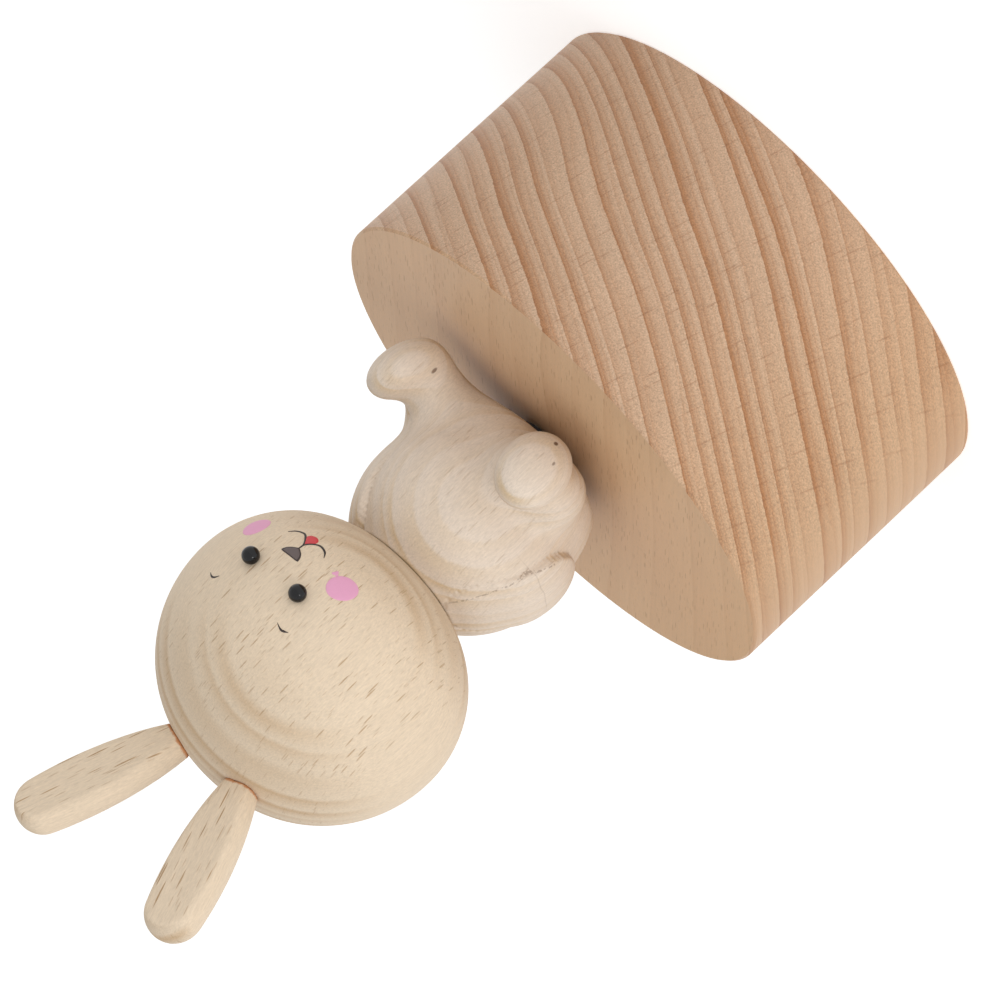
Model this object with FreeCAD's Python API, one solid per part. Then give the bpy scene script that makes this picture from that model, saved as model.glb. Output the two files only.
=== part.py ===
"""Wooden music box: a round beech base with a spring movement inside and a seated rabbit that
turns on top. Millimetres, +Z up, origin at the middle of the base's underside, the rabbit looks
along -Y at rest."""
import FreeCAD, Part
import math
import os

from FreeCAD import Placement, Rotation, Vector

# Round wooden base
base_d = 80.0
base_h = 42.5
rim_t = 3.6
edge_break = 0.35
board_recess = 9.0
board_t = 3.5
board_gap = 0.15
board_screw_r = 0.8
board_screw_head_r = 1.6
board_screw_bite = 6.0
board_screw_count = 3
board_screw_start = 45.0

# Fits used throughout
run_gap = 0.05
glue_gap = 0.03
clear_gap = 0.4
end_gap = 0.3
drill_extra = 0.5

# Screw heads
screw_cross_l = 2.0
screw_cross_w = 0.4
screw_cross_depth = 0.5
screw_slot_w = 0.5

# Movement plate under the wooden top
plate_t = 2.0
plate_margin = 1.0
movement_gap = 0.75
wood_screw_r = 1.2
wood_screw_head_r = 2.4
wood_screw_head_t = 1.5
wood_screw_cover = 2.0
right_screw_y = -10.0
arbor_bite = 1.4
pivot_bite = 0.9

# Spindle, its bush and the black hub under the rabbit
spindle_r = 1.5
spindle_below_gear = 0.4
bush_wall = 1.3
bush_flange_r = 4.0
bush_flange_t = 0.7
thrust_gap = 0.1
hub_disc_r = 5.3
hub_disc_t = 1.6
hub_lift = 0.4
hub_boss_r = 3.2
hub_boss_h = 5.5
spindle_in_hub = 5.0

# Gears: tooth counts, modules and tooth form
drive_module = 0.6
great_teeth = 36
spindle_teeth = 20
crown_module = 0.75
crown_teeth = 30
cylinder_pinion_teeth = 15
train_module = 0.5
cylinder_gear_teeth = 27
second_pinion_teeth = 15
worm_wheel_teeth = 16
tooth_slack = 0.14
tip_share = 0.85
root_share = 1.2
root_spread = 1.5
crown_root_spread = 1.3
tip_spread = 0.45

# Spring barrel and its wheels
barrel_wall = 0.8
barrel_h = 12.3
barrel_lid_t = 1.0
great_plate_t = 1.1
great_tooth_w = 1.8
crown_face = 2.15
crown_drum_gap = 0.55
spindle_gear_t = 1.6
spindle_gear_boss_r = 3.0
spring_t = 0.35
spring_end_gap = 0.55
spring_turns = 4

# Winding arbor, ratchet and click
arbor_r = 1.5
arbor_core_r = 2.6
ratchet_r = 5.4
ratchet_t = 1.2
ratchet_teeth = 14
ratchet_depth = 0.8
ratchet_face_share = 0.12
click_t = 1.0
click_r = 1.9
click_arm = 4.5
click_nose_w = 0.6
click_turn = 65.0
click_pin_r = 0.8
click_pin_head_t = 0.2
click_spring_l = 3.0
click_spring_t = 0.3
click_foot_l = 1.4
click_foot_w = 2.2

# Winding key in the recess under the box
key_floor_gap = 1.0
key_board_gap = 0.6
key_hub_r = 2.4
key_hub_h = 5.9
key_shaft_r = 1.1
key_bite = 4.8
key_t = 1.8
key_lobe_out = 5.8
key_hole_r = 1.9
key_web_h = 5.0

# Strap under the barrel
bridge_t = 1.0
bridge_w = 7.0
bridge_leg_t = 1.3
bridge_leg_gap = 1.0

# Pinned cylinder
cylinder_wall = 0.7
cylinder_cap_t = 1.0
cylinder_land = 0.6
cylinder_arbor_r = 1.0
pin_w = 0.52
pin_h = 0.7
pin_sink = 0.3
pins_a_track = 3
tune_step = 47.0
tune_shuffle = 13.0
tune_spread = 40.0

# Comb and its lead weights
comb_teeth = 18
comb_pitch = 1.0
comb_slot = 0.24
comb_taper = 0.11
comb_t = 0.6
comb_body_t = 1.0
comb_body_l = 5.0
comb_long_tooth = 11.0
comb_short_tooth = 7.2
comb_pin_gap = 0.15
comb_foot_gap = 0.6
comb_screw_r = 1.2
comb_screw_bite = 6.0
comb_screw_head_r = 2.1
comb_screw_head_t = 1.3
comb_screw_inset = 3.6
comb_weight_count = 8
comb_weight_t = 1.4
comb_weight_l = 2.6
comb_weight_step = 0.16
comb_weight_back = 1.0

# Bearing plates, second arbor and governor
bearing_t = 1.2
bearing_margin = 2.6
yoke_gap = 1.1
yoke_leg = 2.0
yoke_bridge = 3.0
gear_w = 1.6
pinion_gap = 0.05
second_arbor_r = 0.8
second_arbor_lift = 30.0
second_bearing_margin = 1.7
worm_r = 1.5
worm_core_r = 1.05
worm_core_end = 0.6
worm_turns = 2
worm_rib_tip = 0.3
worm_rib_root = 0.76
worm_sink = 0.15
governor_shaft_r = 0.5
governor_post_w = 3.5
governor_foot_gap = 0.8
fan_r = 3.4
fan_t = 0.5
fan_hub_wall = 0.6

# Rabbit's body: heights are above its underside, turns are from its front
belly_r = 15.3
belly_mid_h = 12.57
belly_round_h = 6.0
neck_r = 10.0
neck_sink = 2.8
neck_dowel_r = 3.0
neck_dowel_in_body = 6.0
neck_dowel_in_head = 7.5
leg_turn = 41.0
leg_hip_r = 6.2
leg_ankle_r = 4.4
leg_hip_out = 4.0
leg_ankle_out = 20.3
leg_mid_h = 5.9
leg_rise = 1.0
foot_r = 4.6
foot_out = 21.2
foot_sole_h = 0.6
foot_tall = 12.4
foot_lean = 6.0
arm_dome_h = 14.0
arm_dome_side_turn = 55.0
arm_root_out = 5.0
arm_l = 7.0
hand_r = 6.6
shoulder_r = 5.2
right_arm_turn = -107.0
right_arm_reach = 16.5
right_arm_mid_h = 13.0
right_hand_mid_h = 14.7
right_arm_tilt = 20.0
left_arm_turn = 56.0
left_arm_reach = 15.7
left_arm_mid_h = 16.2
left_hand_mid_h = 15.6
left_arm_tilt = 0.0
tail_r = 4.0
tail_mid_h = 9.5
tail_sink = 0.36
tail_seat_r = 2.8
tail_spot_r = 3.5
tail_peg_r = 1.2
tail_peg_l = 2.1

# Rabbit's head, ears and eyes
head_r = 22.5
head_up = 21.3
head_up_side_turn = 67.4
head_down = 18.1
head_down_side_turn = 76.3
ear_base_x = 6.4
ear_base_y = 0.3
ear_lean = 22.5
ear_length = 25.8
ear_w = 8.85
ear_wide_h = 15.8
ear_root_w = 4.7
ear_t = 4.8
ear_sink = 1.2
ear_tenon_r = 1.5
ear_tenon_l = 5.0
ear_tenon_in_ear = 3.2
ear_mortise_h = 5.2
eye_r = 1.28
face_turn = -3.0
eye_turn = 13.0
eye_drop = 0.6
eye_proud = 0.75

# Directions
X = Vector(1, 0, 0)
Y = Vector(0, 1, 0)
Z = Vector(0, 0, 1)

# Wheel radii
great_pitch_r = drive_module * great_teeth / 2
spindle_pitch_r = drive_module * spindle_teeth / 2
spindle_tip_r = spindle_pitch_r + drive_module * tip_share
crown_pitch_r = crown_module * crown_teeth / 2
cylinder_pinion_r = crown_module * cylinder_pinion_teeth / 2
cylinder_gear_r = train_module * cylinder_gear_teeth / 2
second_pinion_r = train_module * second_pinion_teeth / 2
worm_wheel_r = train_module * worm_wheel_teeth / 2
worm_wheel_tip_r = worm_wheel_r + train_module * tip_share
crown_in_r = crown_pitch_r - crown_face / 2
crown_out_r = crown_pitch_r + crown_face / 2
barrel_r = crown_in_r - crown_drum_gap
bush_r = spindle_r + run_gap + bush_wall

# Levels, from the bottom board up to the cavity's ceiling
board_top_z = board_recess + board_t
board_screw_top_z = board_top_z + board_screw_bite
bridge_low_z = board_top_z + clear_gap
barrel_low_z = bridge_low_z + bridge_t + clear_gap + barrel_lid_t
crown_root_z = barrel_low_z + barrel_h
great_low_z = crown_root_z + great_plate_t
ratchet_low_z = great_low_z + great_tooth_w + clear_gap
ratchet_top_z = ratchet_low_z + ratchet_t
plate_z = ratchet_top_z + clear_gap
ceiling_z = plate_z + plate_t
top_t = base_h - ceiling_z
wood_screw_bite = top_t - wood_screw_cover
spindle_gear_z = great_low_z + clear_gap
spindle_low_z = spindle_gear_z - spindle_below_gear
axis_z = crown_root_z - crown_module * root_share - cylinder_pinion_r
cylinder_r = min(spindle_low_z - axis_z, axis_z - board_top_z) - clear_gap - pin_h
spring_h = barrel_h - barrel_wall - 2 * spring_end_gap
key_top_z = board_recess - key_board_gap
key_lobe_r = (key_top_z - key_floor_gap) / 2

# Places along the cylinder's axis, from the barrel to the governor
barrel_x = -(great_pitch_r + spindle_pitch_r)
pinion_x = barrel_x + crown_in_r + pinion_gap
left_bearing_x = pinion_x + crown_face + clear_gap
cylinder_x = left_bearing_x + bearing_t + clear_gap
comb_x = cylinder_x + cylinder_land
comb_end_x = comb_x + comb_teeth * comb_pitch
cylinder_end_x = comb_end_x + cylinder_land
gear_x = cylinder_end_x + clear_gap
right_bearing_x = gear_x + gear_w + clear_gap
worm_wheel_x = right_bearing_x + bearing_t + clear_gap
worm_x = worm_wheel_x + gear_w / 2
governor_left_x = gear_x - clear_gap - bearing_t

# Second arbor, worm and comb
second_reach = cylinder_gear_r + second_pinion_r
second_y = second_reach * math.cos(math.radians(second_arbor_lift))
second_z = axis_z + second_reach * math.sin(math.radians(second_arbor_lift))
worm_y = second_y + worm_wheel_r + worm_r
worm_rise = math.pi * train_module
governor_low_z = board_top_z + governor_foot_gap
comb_tip_y = -(cylinder_r + pin_h + comb_pin_gap)
comb_back_y = comb_tip_y - comb_long_tooth - comb_body_l
comb_top_z = axis_z + comb_t / 2

# The cavity is bored round the movement
bridge_in_y = crown_out_r + bridge_leg_gap
bridge_out_y = bridge_in_y + bridge_leg_t
left_screw_y = bridge_out_y + clear_gap + wood_screw_head_r
right_screw_x = right_bearing_x + bearing_t + clear_gap + wood_screw_head_r
plate_front_y = comb_back_y - plate_margin
plate_back_y = max(left_screw_y + wood_screw_head_r, worm_y + governor_post_w / 2) + plate_margin
fan_reach = math.hypot(worm_x, worm_y) + fan_r
comb_reach = math.hypot(comb_end_x, comb_back_y) + plate_margin
movement_r = max(fan_reach, comb_reach, crown_out_r - barrel_x)
cavity_r = movement_r + movement_gap
base_r = base_d / 2
recess_r = base_r - rim_t
board_r = recess_r - board_gap
board_screw_ring = (cavity_r + recess_r) / 2

# Rabbit's levels
hub_low_z = base_h + hub_lift
body_low_z = hub_low_z + hub_disc_t
belly_z = body_low_z + belly_mid_h
belly_round_z = belly_z + belly_round_h
belly_round_r = math.sqrt(belly_r ** 2 - belly_round_h ** 2)
neck_z = belly_round_z + (belly_round_r - neck_r) * belly_round_r / belly_round_h
neck_seat_z = neck_z - neck_sink
neck_dowel_low_z = neck_seat_z - neck_dowel_in_body
neck_dowel_high_z = neck_seat_z + neck_dowel_in_head
head_mid_z = neck_seat_z + head_down
eye_z = head_mid_z - eye_drop
tail_z = body_low_z + tail_mid_h
tail_seat_y = math.sqrt(belly_r ** 2 - (belly_z - tail_z) ** 2) - tail_sink
tail_out = tail_seat_y + math.sqrt(tail_r ** 2 - tail_seat_r ** 2)


def cylinder_z(radius, low, high, x=0.0, y=0.0):
    """Upright round bar from low to high."""
    return Part.makeCylinder(radius, high - low, Vector(x, y, low), Z)


def cylinder_along_x(radius, start, end, y=0.0, z=0.0):
    """Round bar lying along X."""
    return Part.makeCylinder(radius, end - start, Vector(start, y, z), X)


def block(x0, x1, y0, y1, z0, z1):
    """Rectangular block between two corners."""
    return Part.makeBox(x1 - x0, y1 - y0, z1 - z0, Vector(x0, y0, z0))


def prism(points, low, high):
    """Closed outline in plan, raised from low to high."""
    corners = [Vector(x, y, low) for x, y in points]
    wire = Part.makePolygon(corners + [corners[0]])
    return Part.Face(wire).extrude(Vector(0, 0, high - low))


def side_prism(points, start, end):
    """Closed outline in YZ, drawn out along X from start to end."""
    corners = [Vector(start, y, z) for y, z in points]
    wire = Part.makePolygon(corners + [corners[0]])
    return Part.Face(wire).extrude(Vector(end - start, 0, 0))


def polar(radius, degrees):
    """Plan position at a radius and an angle from +X."""
    return radius * math.cos(math.radians(degrees)), radius * math.sin(math.radians(degrees))


def oval_radii(radius, half_length, side_turn):
    """Radii of the side arc and the pole arc of an oval whose side arc turns by side_turn."""
    along = math.sin(math.radians(side_turn))
    across = math.cos(math.radians(side_turn))
    spare = along + across - 1
    side_r = (half_length * across - radius * (1 - along)) / spare
    pole_r = (radius * along - half_length * (1 - across)) / spare
    return side_r, pole_r


def oval_side(radius, half_length, side_turn, mid_z, sign):
    """Half outline from the widest point to a pole: two tangent arcs. Sign is 1 up, -1 down."""
    side_r, pole_r = oval_radii(radius, half_length, side_turn)
    side_centre = Vector(radius - side_r, 0, 0)
    pole_centre = Vector(0, 0, half_length - pole_r)
    edges = []
    for centre, reach, first, last in ((side_centre, side_r, 0, side_turn),
                                       (pole_centre, pole_r, side_turn, 90)):
        points = []
        for degrees in (first, (first + last) / 2, last):
            out, up = polar(reach, degrees)
            points.append(Vector(centre.x + out, 0, mid_z + sign * (centre.z + up)))
        edges.append(Part.Arc(*points).toShape())
    return edges


def oval(radius, up, up_turn, down, down_turn, mid_z):
    """Egg-like solid of revolution whose upper and lower halves differ."""
    upper = oval_side(radius, up, up_turn, mid_z, 1)
    lower = oval_side(radius, down, down_turn, mid_z, -1)
    spine = Part.makeLine(Vector(0, 0, mid_z + up), Vector(0, 0, mid_z - down))
    outline = Part.Wire(Part.__sortEdges__(upper + [spine] + lower))
    solid = Part.Face(outline).revolve(Vector(0, 0, 0), Z, 360)
    return Part.Solid(solid.Shells[0]) if solid.ShapeType != "Solid" else solid


def arc_radius(wide, narrow, height):
    """Radius of an arc that starts upright at one half width and reaches another at a height."""
    drop = wide - narrow
    return (drop ** 2 + height ** 2) / (2 * drop)


def facing(degrees, out, height):
    """Point around the rabbit: degrees from its front towards its left, at a distance out."""
    turn = math.radians(degrees)
    return Vector(out * math.sin(turn), -out * math.cos(turn), height)


def gear(teeth, module, width, bore):
    """Spur gear on Z with a tooth centred on +X, its teeth thinned by the running slack."""
    pitch_r = module * teeth / 2
    tip_r = pitch_r + module * tip_share
    root_r = pitch_r - module * root_share
    step = 360.0 / teeth
    half_pitch = step / 4 - math.degrees(tooth_slack / 2 / pitch_r)
    flank = ((root_r, half_pitch * root_spread), (pitch_r, half_pitch), (tip_r, half_pitch * tip_spread))
    outline = []
    for tooth in range(teeth):
        middle = tooth * step
        outline += [polar(radius, middle - half) for radius, half in flank]
        outline += [polar(radius, middle + half) for radius, half in reversed(flank)]
    return prism(outline, 0, width).cut(cylinder_z(bore, 0, width))


def on_x_axis(shape, x, y, z, turn=0.0):
    """Take a gear made on +Z to an axis along +X; its +X tooth ends pointing along +Z."""
    lying = Rotation(Y, -90).multiply(Rotation(Z, turn))
    mirrored = Rotation(Z, 180).multiply(lying)
    moved = shape.copy()
    moved.Placement = Placement(Vector(x, y, z), mirrored)
    return moved


def base_shell():
    """Turned base with its cavity, board ledge, spindle hole and screw holes."""
    shell = cylinder_z(base_r, 0, base_h)
    shell = shell.makeChamfer(edge_break, [e for e in shell.Edges if e.Closed])
    shell = shell.cut(cylinder_z(recess_r, 0, board_top_z))
    shell = shell.cut(cylinder_z(cavity_r, 0, ceiling_z))
    shell = shell.cut(cylinder_z(bush_r + glue_gap, 0, base_h))
    for x, y in movement_screw_places():
        shell = shell.cut(cylinder_z(wood_screw_r + glue_gap, 0, ceiling_z + wood_screw_bite, x, y))
    for x, y in board_screw_places():
        shell = shell.cut(cylinder_z(board_screw_r + glue_gap, 0, board_screw_top_z, x, y))
    return shell


def board_screw_places():
    """Screw positions round the bottom board."""
    step = 360 / board_screw_count
    return [polar(board_screw_ring, board_screw_start + step * n) for n in range(board_screw_count)]


def movement_screw_places():
    """Wood screws that hold the movement plate to the top."""
    return [(barrel_x, left_screw_y), (barrel_x, -left_screw_y), (right_screw_x, right_screw_y)]


def board_screw(x, y, gap=0.0):
    """Countersunk screw, head flush with the board's lower face."""
    head = Part.makeCone(board_screw_head_r + gap, board_screw_r + gap, board_screw_head_r,
                         Vector(x, y, board_recess), Z)
    return head.fuse(cylinder_z(board_screw_r + gap, board_recess, board_screw_top_z, x, y))


def bottom_board():
    """Round plywood board that closes the cavity, with the arbor hole and countersinks."""
    board = cylinder_z(board_r, board_recess, board_top_z)
    board = board.cut(cylinder_z(arbor_r + clear_gap, 0, base_h, barrel_x, 0))
    for x, y in board_screw_places():
        board = board.cut(board_screw(x, y, glue_gap))
    return board


def bottom_screws():
    """The board's screws with a cross slot in each head."""
    screws = []
    for x, y in board_screw_places():
        screw = board_screw(x, y)
        for along, across in ((screw_cross_l, screw_cross_w), (screw_cross_w, screw_cross_l)):
            screw = screw.cut(block(x - along / 2, x + along / 2, y - across / 2, y + across / 2,
                                    0, board_recess + screw_cross_depth))
        screws.append(screw)
    return Part.makeCompound(screws)


def cheese_screw(x, y, seat_z, radius, length, head_r, head_t):
    """Slotted cheese-head screw that points up from its seat."""
    screw = cylinder_z(radius, seat_z, seat_z + length, x, y)
    screw = screw.fuse(cylinder_z(head_r, seat_z - head_t, seat_z, x, y))
    slot = block(x - head_r, x + head_r, y - screw_slot_w / 2, y + screw_slot_w / 2,
                 seat_z - head_t, seat_z - head_t / 2)
    return screw.cut(slot)


def movement_screws():
    """Wood screws up through the plate into the top."""
    length = plate_t + wood_screw_bite - drill_extra
    return Part.makeCompound([
        cheese_screw(x, y, plate_z, wood_screw_r, length, wood_screw_head_r, wood_screw_head_t)
        for x, y in movement_screw_places()])


def comb_root_y(x):
    """Line of the tooth roots: long bass teeth at the left, short treble teeth at the right."""
    share = (x - comb_x) / (comb_end_x - comb_x)
    return comb_tip_y - comb_long_tooth + (comb_long_tooth - comb_short_tooth) * share


def comb_outline(front_gap):
    """Plan of the comb's body, its front line held back from the tooth roots."""
    return [(comb_x, comb_back_y), (comb_end_x, comb_back_y),
            (comb_end_x, comb_root_y(comb_end_x) - front_gap), (comb_x, comb_root_y(comb_x) - front_gap)]


def comb_screw_places():
    """Two screws through the comb's body."""
    y = comb_back_y + comb_body_l / 2
    return [(comb_x + comb_screw_inset, y), (comb_end_x - comb_screw_inset, y)]


def bedplate():
    """Cast movement plate with the raised foot that carries the comb."""
    plate = cylinder_z(movement_r, plate_z, ceiling_z)
    plate = plate.common(block(-base_r, base_r, plate_front_y, plate_back_y, plate_z, ceiling_z))
    plate = plate.fuse(prism(comb_outline(comb_foot_gap), comb_top_z, plate_z)).removeSplitter()
    plate = plate.cut(cylinder_z(bush_r + glue_gap, 0, base_h))
    holes = [(arbor_r + run_gap, arbor_bite + thrust_gap, barrel_x, 0),
             (governor_shaft_r + run_gap, pivot_bite + thrust_gap, worm_x, worm_y),
             (click_pin_r + glue_gap, arbor_bite, *click_pin_place())]
    for radius, depth, x, y in holes:
        plate = plate.cut(cylinder_z(radius, 0, plate_z + depth, x, y))
    for x, y in movement_screw_places():
        plate = plate.cut(cylinder_z(wood_screw_r + glue_gap, 0, base_h, x, y))
    for x, y in comb_screw_places():
        hole_top = comb_top_z + comb_screw_bite + drill_extra
        plate = plate.cut(cylinder_z(comb_screw_r + glue_gap, 0, hole_top, x, y))
    return plate


def comb_screws():
    """Screws that clamp the comb to the plate's foot."""
    return Part.makeCompound([
        cheese_screw(x, y, comb_top_z - comb_body_t, comb_screw_r, comb_body_t + comb_screw_bite,
                     comb_screw_head_r, comb_screw_head_t)
        for x, y in comb_screw_places()])


def comb():
    """Steel comb: a thick body and tuned teeth that end just clear of the pins."""
    body = prism(comb_outline(0.0), comb_top_z - comb_body_t, comb_top_z)
    outline = [(comb_end_x, comb_back_y), (comb_x, comb_back_y)]
    for tooth in range(comb_teeth):
        left = comb_x + tooth * comb_pitch + comb_slot / 2
        right = left + comb_pitch - comb_slot
        root = comb_root_y(left)
        outline += [(left, root), (left + comb_taper, comb_tip_y),
                    (right - comb_taper, comb_tip_y), (right, root)]
    plate = body.fuse(prism(outline, comb_top_z - comb_t, comb_top_z)).removeSplitter()
    for x, y in comb_screw_places():
        plate = plate.cut(cylinder_z(comb_screw_r + glue_gap, 0, base_h, x, y))
    return plate


def comb_weights():
    """Lead weights under the tips of the bass teeth, shorter towards the treble."""
    weights = []
    high = comb_top_z - comb_t
    half = (comb_pitch - comb_slot) / 2 - comb_taper
    front = comb_tip_y - comb_weight_back
    for tooth in range(comb_weight_count):
        x = comb_x + (tooth + 0.5) * comb_pitch
        length = comb_weight_l - comb_weight_step * tooth
        weights.append(block(x - half, x + half, front - length, front, high - comb_weight_t, high))
    return Part.makeCompound(weights)


def cylinder_bracket():
    """Left bearing of the cylinder: a yoke that hangs from the plate and clears the spindle gear."""
    inner = spindle_tip_r + yoke_gap
    outer = inner + yoke_leg
    end = left_bearing_x + bearing_t
    yoke = block(left_bearing_x, end, -outer, outer, axis_z - bearing_margin, plate_z)
    yoke = yoke.cut(block(left_bearing_x, end, -inner, inner, axis_z + yoke_bridge, plate_z))
    return yoke.cut(cylinder_along_x(cylinder_arbor_r + run_gap, -base_r, base_r, 0, axis_z))


def train_plate():
    """Right bearing plate for the cylinder and the second arbor."""
    low = axis_z - bearing_margin
    back = second_y + bearing_margin
    outline = [(-bearing_margin, low), (bearing_margin, low), (back, second_z - bearing_margin),
               (back, plate_z), (-bearing_margin, plate_z)]
    plate = side_prism(outline, right_bearing_x, right_bearing_x + bearing_t)
    plate = plate.cut(cylinder_along_x(cylinder_arbor_r + run_gap, -base_r, base_r, 0, axis_z))
    return plate.cut(cylinder_along_x(second_arbor_r + run_gap, -base_r, base_r, second_y, second_z))


def governor_bracket():
    """Bent bracket: left bearing of the second arbor, post, and the arm under the governor."""
    end = governor_left_x + bearing_t
    front = worm_y - governor_post_w / 2
    back = worm_y + governor_post_w / 2
    ear_low = second_z - second_bearing_margin
    arm_end = worm_x + second_bearing_margin
    ear = block(governor_left_x, end, second_y - second_bearing_margin, back, ear_low, plate_z)
    post = block(governor_left_x, end, front, back, governor_low_z, ear_low)
    arm = block(governor_left_x, arm_end, front, back, governor_low_z, governor_low_z + bearing_t)
    bracket = ear.fuse([post, arm]).removeSplitter()
    bracket = bracket.cut(cylinder_along_x(second_arbor_r + run_gap, 0, base_r, second_y, second_z))
    return bracket.cut(cylinder_z(governor_shaft_r + run_gap, 0, plate_z, worm_x, worm_y))


def lower_bridge():
    """Strap under the barrel that carries the arbor's lower journal."""
    x0 = barrel_x - bridge_w / 2
    x1 = barrel_x + bridge_w / 2
    strap = block(x0, x1, -bridge_out_y, bridge_out_y, bridge_low_z, bridge_low_z + bridge_t)
    legs = [block(x0, x1, bridge_in_y, bridge_out_y, bridge_low_z, plate_z),
            block(x0, x1, -bridge_out_y, -bridge_in_y, bridge_low_z, plate_z)]
    bridge = strap.fuse(legs).removeSplitter()
    return bridge.cut(cylinder_z(arbor_r + run_gap, 0, base_h, barrel_x, 0))


def spindle_bush():
    """Flanged brass bush through the plate and the wooden top."""
    bush = cylinder_z(bush_r, plate_z - bush_flange_t, base_h)
    bush = bush.fuse(cylinder_z(bush_flange_r, plate_z - bush_flange_t, plate_z))
    return bush.cut(cylinder_z(spindle_r + run_gap, 0, base_h))


def click_pin_place():
    """Pivot of the click, beside the ratchet wheel."""
    x, y = polar(ratchet_r + click_arm, click_turn)
    return barrel_x + x, y


def click():
    """Pawl drawn at the top of its ride, just clear of the ratchet's tips."""
    low = ratchet_top_z - click_t
    tip = click_arm - 2 * run_gap
    arm = prism([(0, -click_r), (tip, -click_nose_w / 2), (tip, click_nose_w / 2), (0, click_r)],
                low, ratchet_top_z)
    eye = cylinder_z(click_r, low, ratchet_top_z)
    pawl = eye.fuse(arm).cut(cylinder_z(click_pin_r + run_gap, 0, base_h))
    pawl.rotate(Vector(0, 0, 0), Z, click_turn + 180)
    pawl.translate(Vector(*click_pin_place(), 0))
    return pawl


def click_pin():
    """Shouldered pin in the plate that the click turns on."""
    x, y = click_pin_place()
    low = ratchet_top_z - click_t - thrust_gap
    pin = cylinder_z(click_pin_r, low, plate_z + arbor_bite, x, y)
    head_r = (click_pin_r + click_r) / 2
    return pin.fuse(cylinder_z(head_r, low - click_pin_head_t, low, x, y))


def click_spring():
    """Leaf spring fixed to the plate's underside that presses on the click's back."""
    x, y = click_pin_place()
    low = ratchet_top_z - click_t
    start = x + click_r + thrust_gap
    end = start + click_spring_l
    leaf = block(start, end, y - click_spring_t / 2, y + click_spring_t / 2, low, plate_z)
    foot = block(end, end + click_foot_l, y - click_foot_w / 2, y + click_foot_w / 2, low, plate_z)
    return leaf.fuse(foot).removeSplitter()


def spindle():
    """Steel spindle from the drive gear up into the hub."""
    return cylinder_z(spindle_r, spindle_low_z, hub_low_z + spindle_in_hub)


def spindle_gear():
    """Gear on the spindle with a boss that runs under the bush flange."""
    wheel = gear(spindle_teeth, drive_module, spindle_gear_t, spindle_r)
    wheel.rotate(Vector(0, 0, 0), Z, 180 + 180 / spindle_teeth)
    wheel.translate(Vector(0, 0, spindle_gear_z))
    boss = cylinder_z(spindle_gear_boss_r, spindle_gear_z + spindle_gear_t,
                      plate_z - bush_flange_t - thrust_gap)
    return wheel.fuse(boss.cut(cylinder_z(spindle_r, 0, base_h)))


def hub():
    """Black moulded hub: a disc under the rabbit and a boss inside it."""
    disc = cylinder_z(hub_disc_r, hub_low_z, body_low_z)
    boss = cylinder_z(hub_boss_r, body_low_z, body_low_z + hub_boss_h)
    return disc.fuse(boss).cut(cylinder_z(spindle_r, 0, hub_low_z + spindle_in_hub))


def crown_tooth():
    """One tooth that hangs from the great wheel's flange on +X, sunk a little into it."""
    half = math.pi * crown_module / 4 - tooth_slack
    root_z = crown_root_z + pinion_gap
    tip_z = crown_root_z - crown_module * (root_share + tip_share)
    outline = [(-half * crown_root_spread, root_z), (-half * tip_spread, tip_z),
               (half * tip_spread, tip_z), (half * crown_root_spread, root_z)]
    return side_prism(outline, crown_in_r, crown_out_r - pinion_gap)


def great_wheel():
    """Brass wheel on the barrel: spur teeth on its rim and crown teeth hanging below it."""
    wheel = gear(great_teeth, drive_module, great_tooth_w, arbor_r + run_gap)
    wheel.translate(Vector(0, 0, great_low_z))
    teeth = [cylinder_z(crown_out_r, crown_root_z, great_low_z)]
    for tooth in range(crown_teeth):
        bar = crown_tooth()
        bar.rotate(Vector(0, 0, 0), Z, 360.0 / crown_teeth * tooth)
        teeth.append(bar)
    wheel = wheel.fuse(teeth).cut(cylinder_z(arbor_r + run_gap, 0, base_h))
    wheel.translate(Vector(barrel_x, 0, 0))
    return wheel


def spring_barrel():
    """Drum of the barrel, closed at the top against the great wheel."""
    drum = cylinder_z(barrel_r, barrel_low_z, crown_root_z)
    drum = drum.cut(cylinder_z(barrel_r - barrel_wall, barrel_low_z, crown_root_z - barrel_wall))
    drum = drum.cut(cylinder_z(arbor_r + run_gap, 0, base_h))
    drum.translate(Vector(barrel_x, 0, 0))
    return drum


def barrel_cover():
    """Lid of the barrel."""
    lid = cylinder_z(barrel_r, barrel_low_z - barrel_lid_t, barrel_low_z)
    lid = lid.cut(cylinder_z(arbor_r + run_gap, 0, base_h))
    lid.translate(Vector(barrel_x, 0, 0))
    return lid


def mainspring():
    """Coiled strip spring: half circles whose centres alternate so that each turn opens out."""
    inner = arbor_core_r + clear_gap
    room = barrel_r - barrel_wall - end_gap - inner - spring_t
    step = room / (2 * spring_turns + 1)
    faces_in = []
    faces_out = []
    radius = inner
    centre = 0.0
    for half_turn in range(2 * spring_turns):
        sign = 1 if half_turn % 2 == 0 else -1
        for reach, edges in ((radius, faces_in), (radius + spring_t, faces_out)):
            start = Vector(centre + sign * reach, 0, 0)
            middle = Vector(centre, sign * reach, 0)
            end = Vector(centre - sign * reach, 0, 0)
            edges.append(Part.Arc(start, middle, end).toShape())
        centre = centre + sign * step
        radius = radius + step
    tail_in = faces_in[-1].valueAt(faces_in[-1].LastParameter)
    tail_end = faces_out[-1].valueAt(faces_out[-1].LastParameter)
    ends = [Part.makeLine(Vector(inner, 0, 0), Vector(inner + spring_t, 0, 0)),
            Part.makeLine(tail_in, tail_end)]
    outline = Part.Wire(Part.__sortEdges__(faces_in + faces_out + ends))
    strip = Part.Face(outline).extrude(Vector(0, 0, spring_h))
    strip.translate(Vector(barrel_x, 0, barrel_low_z + spring_end_gap))
    return strip


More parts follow.
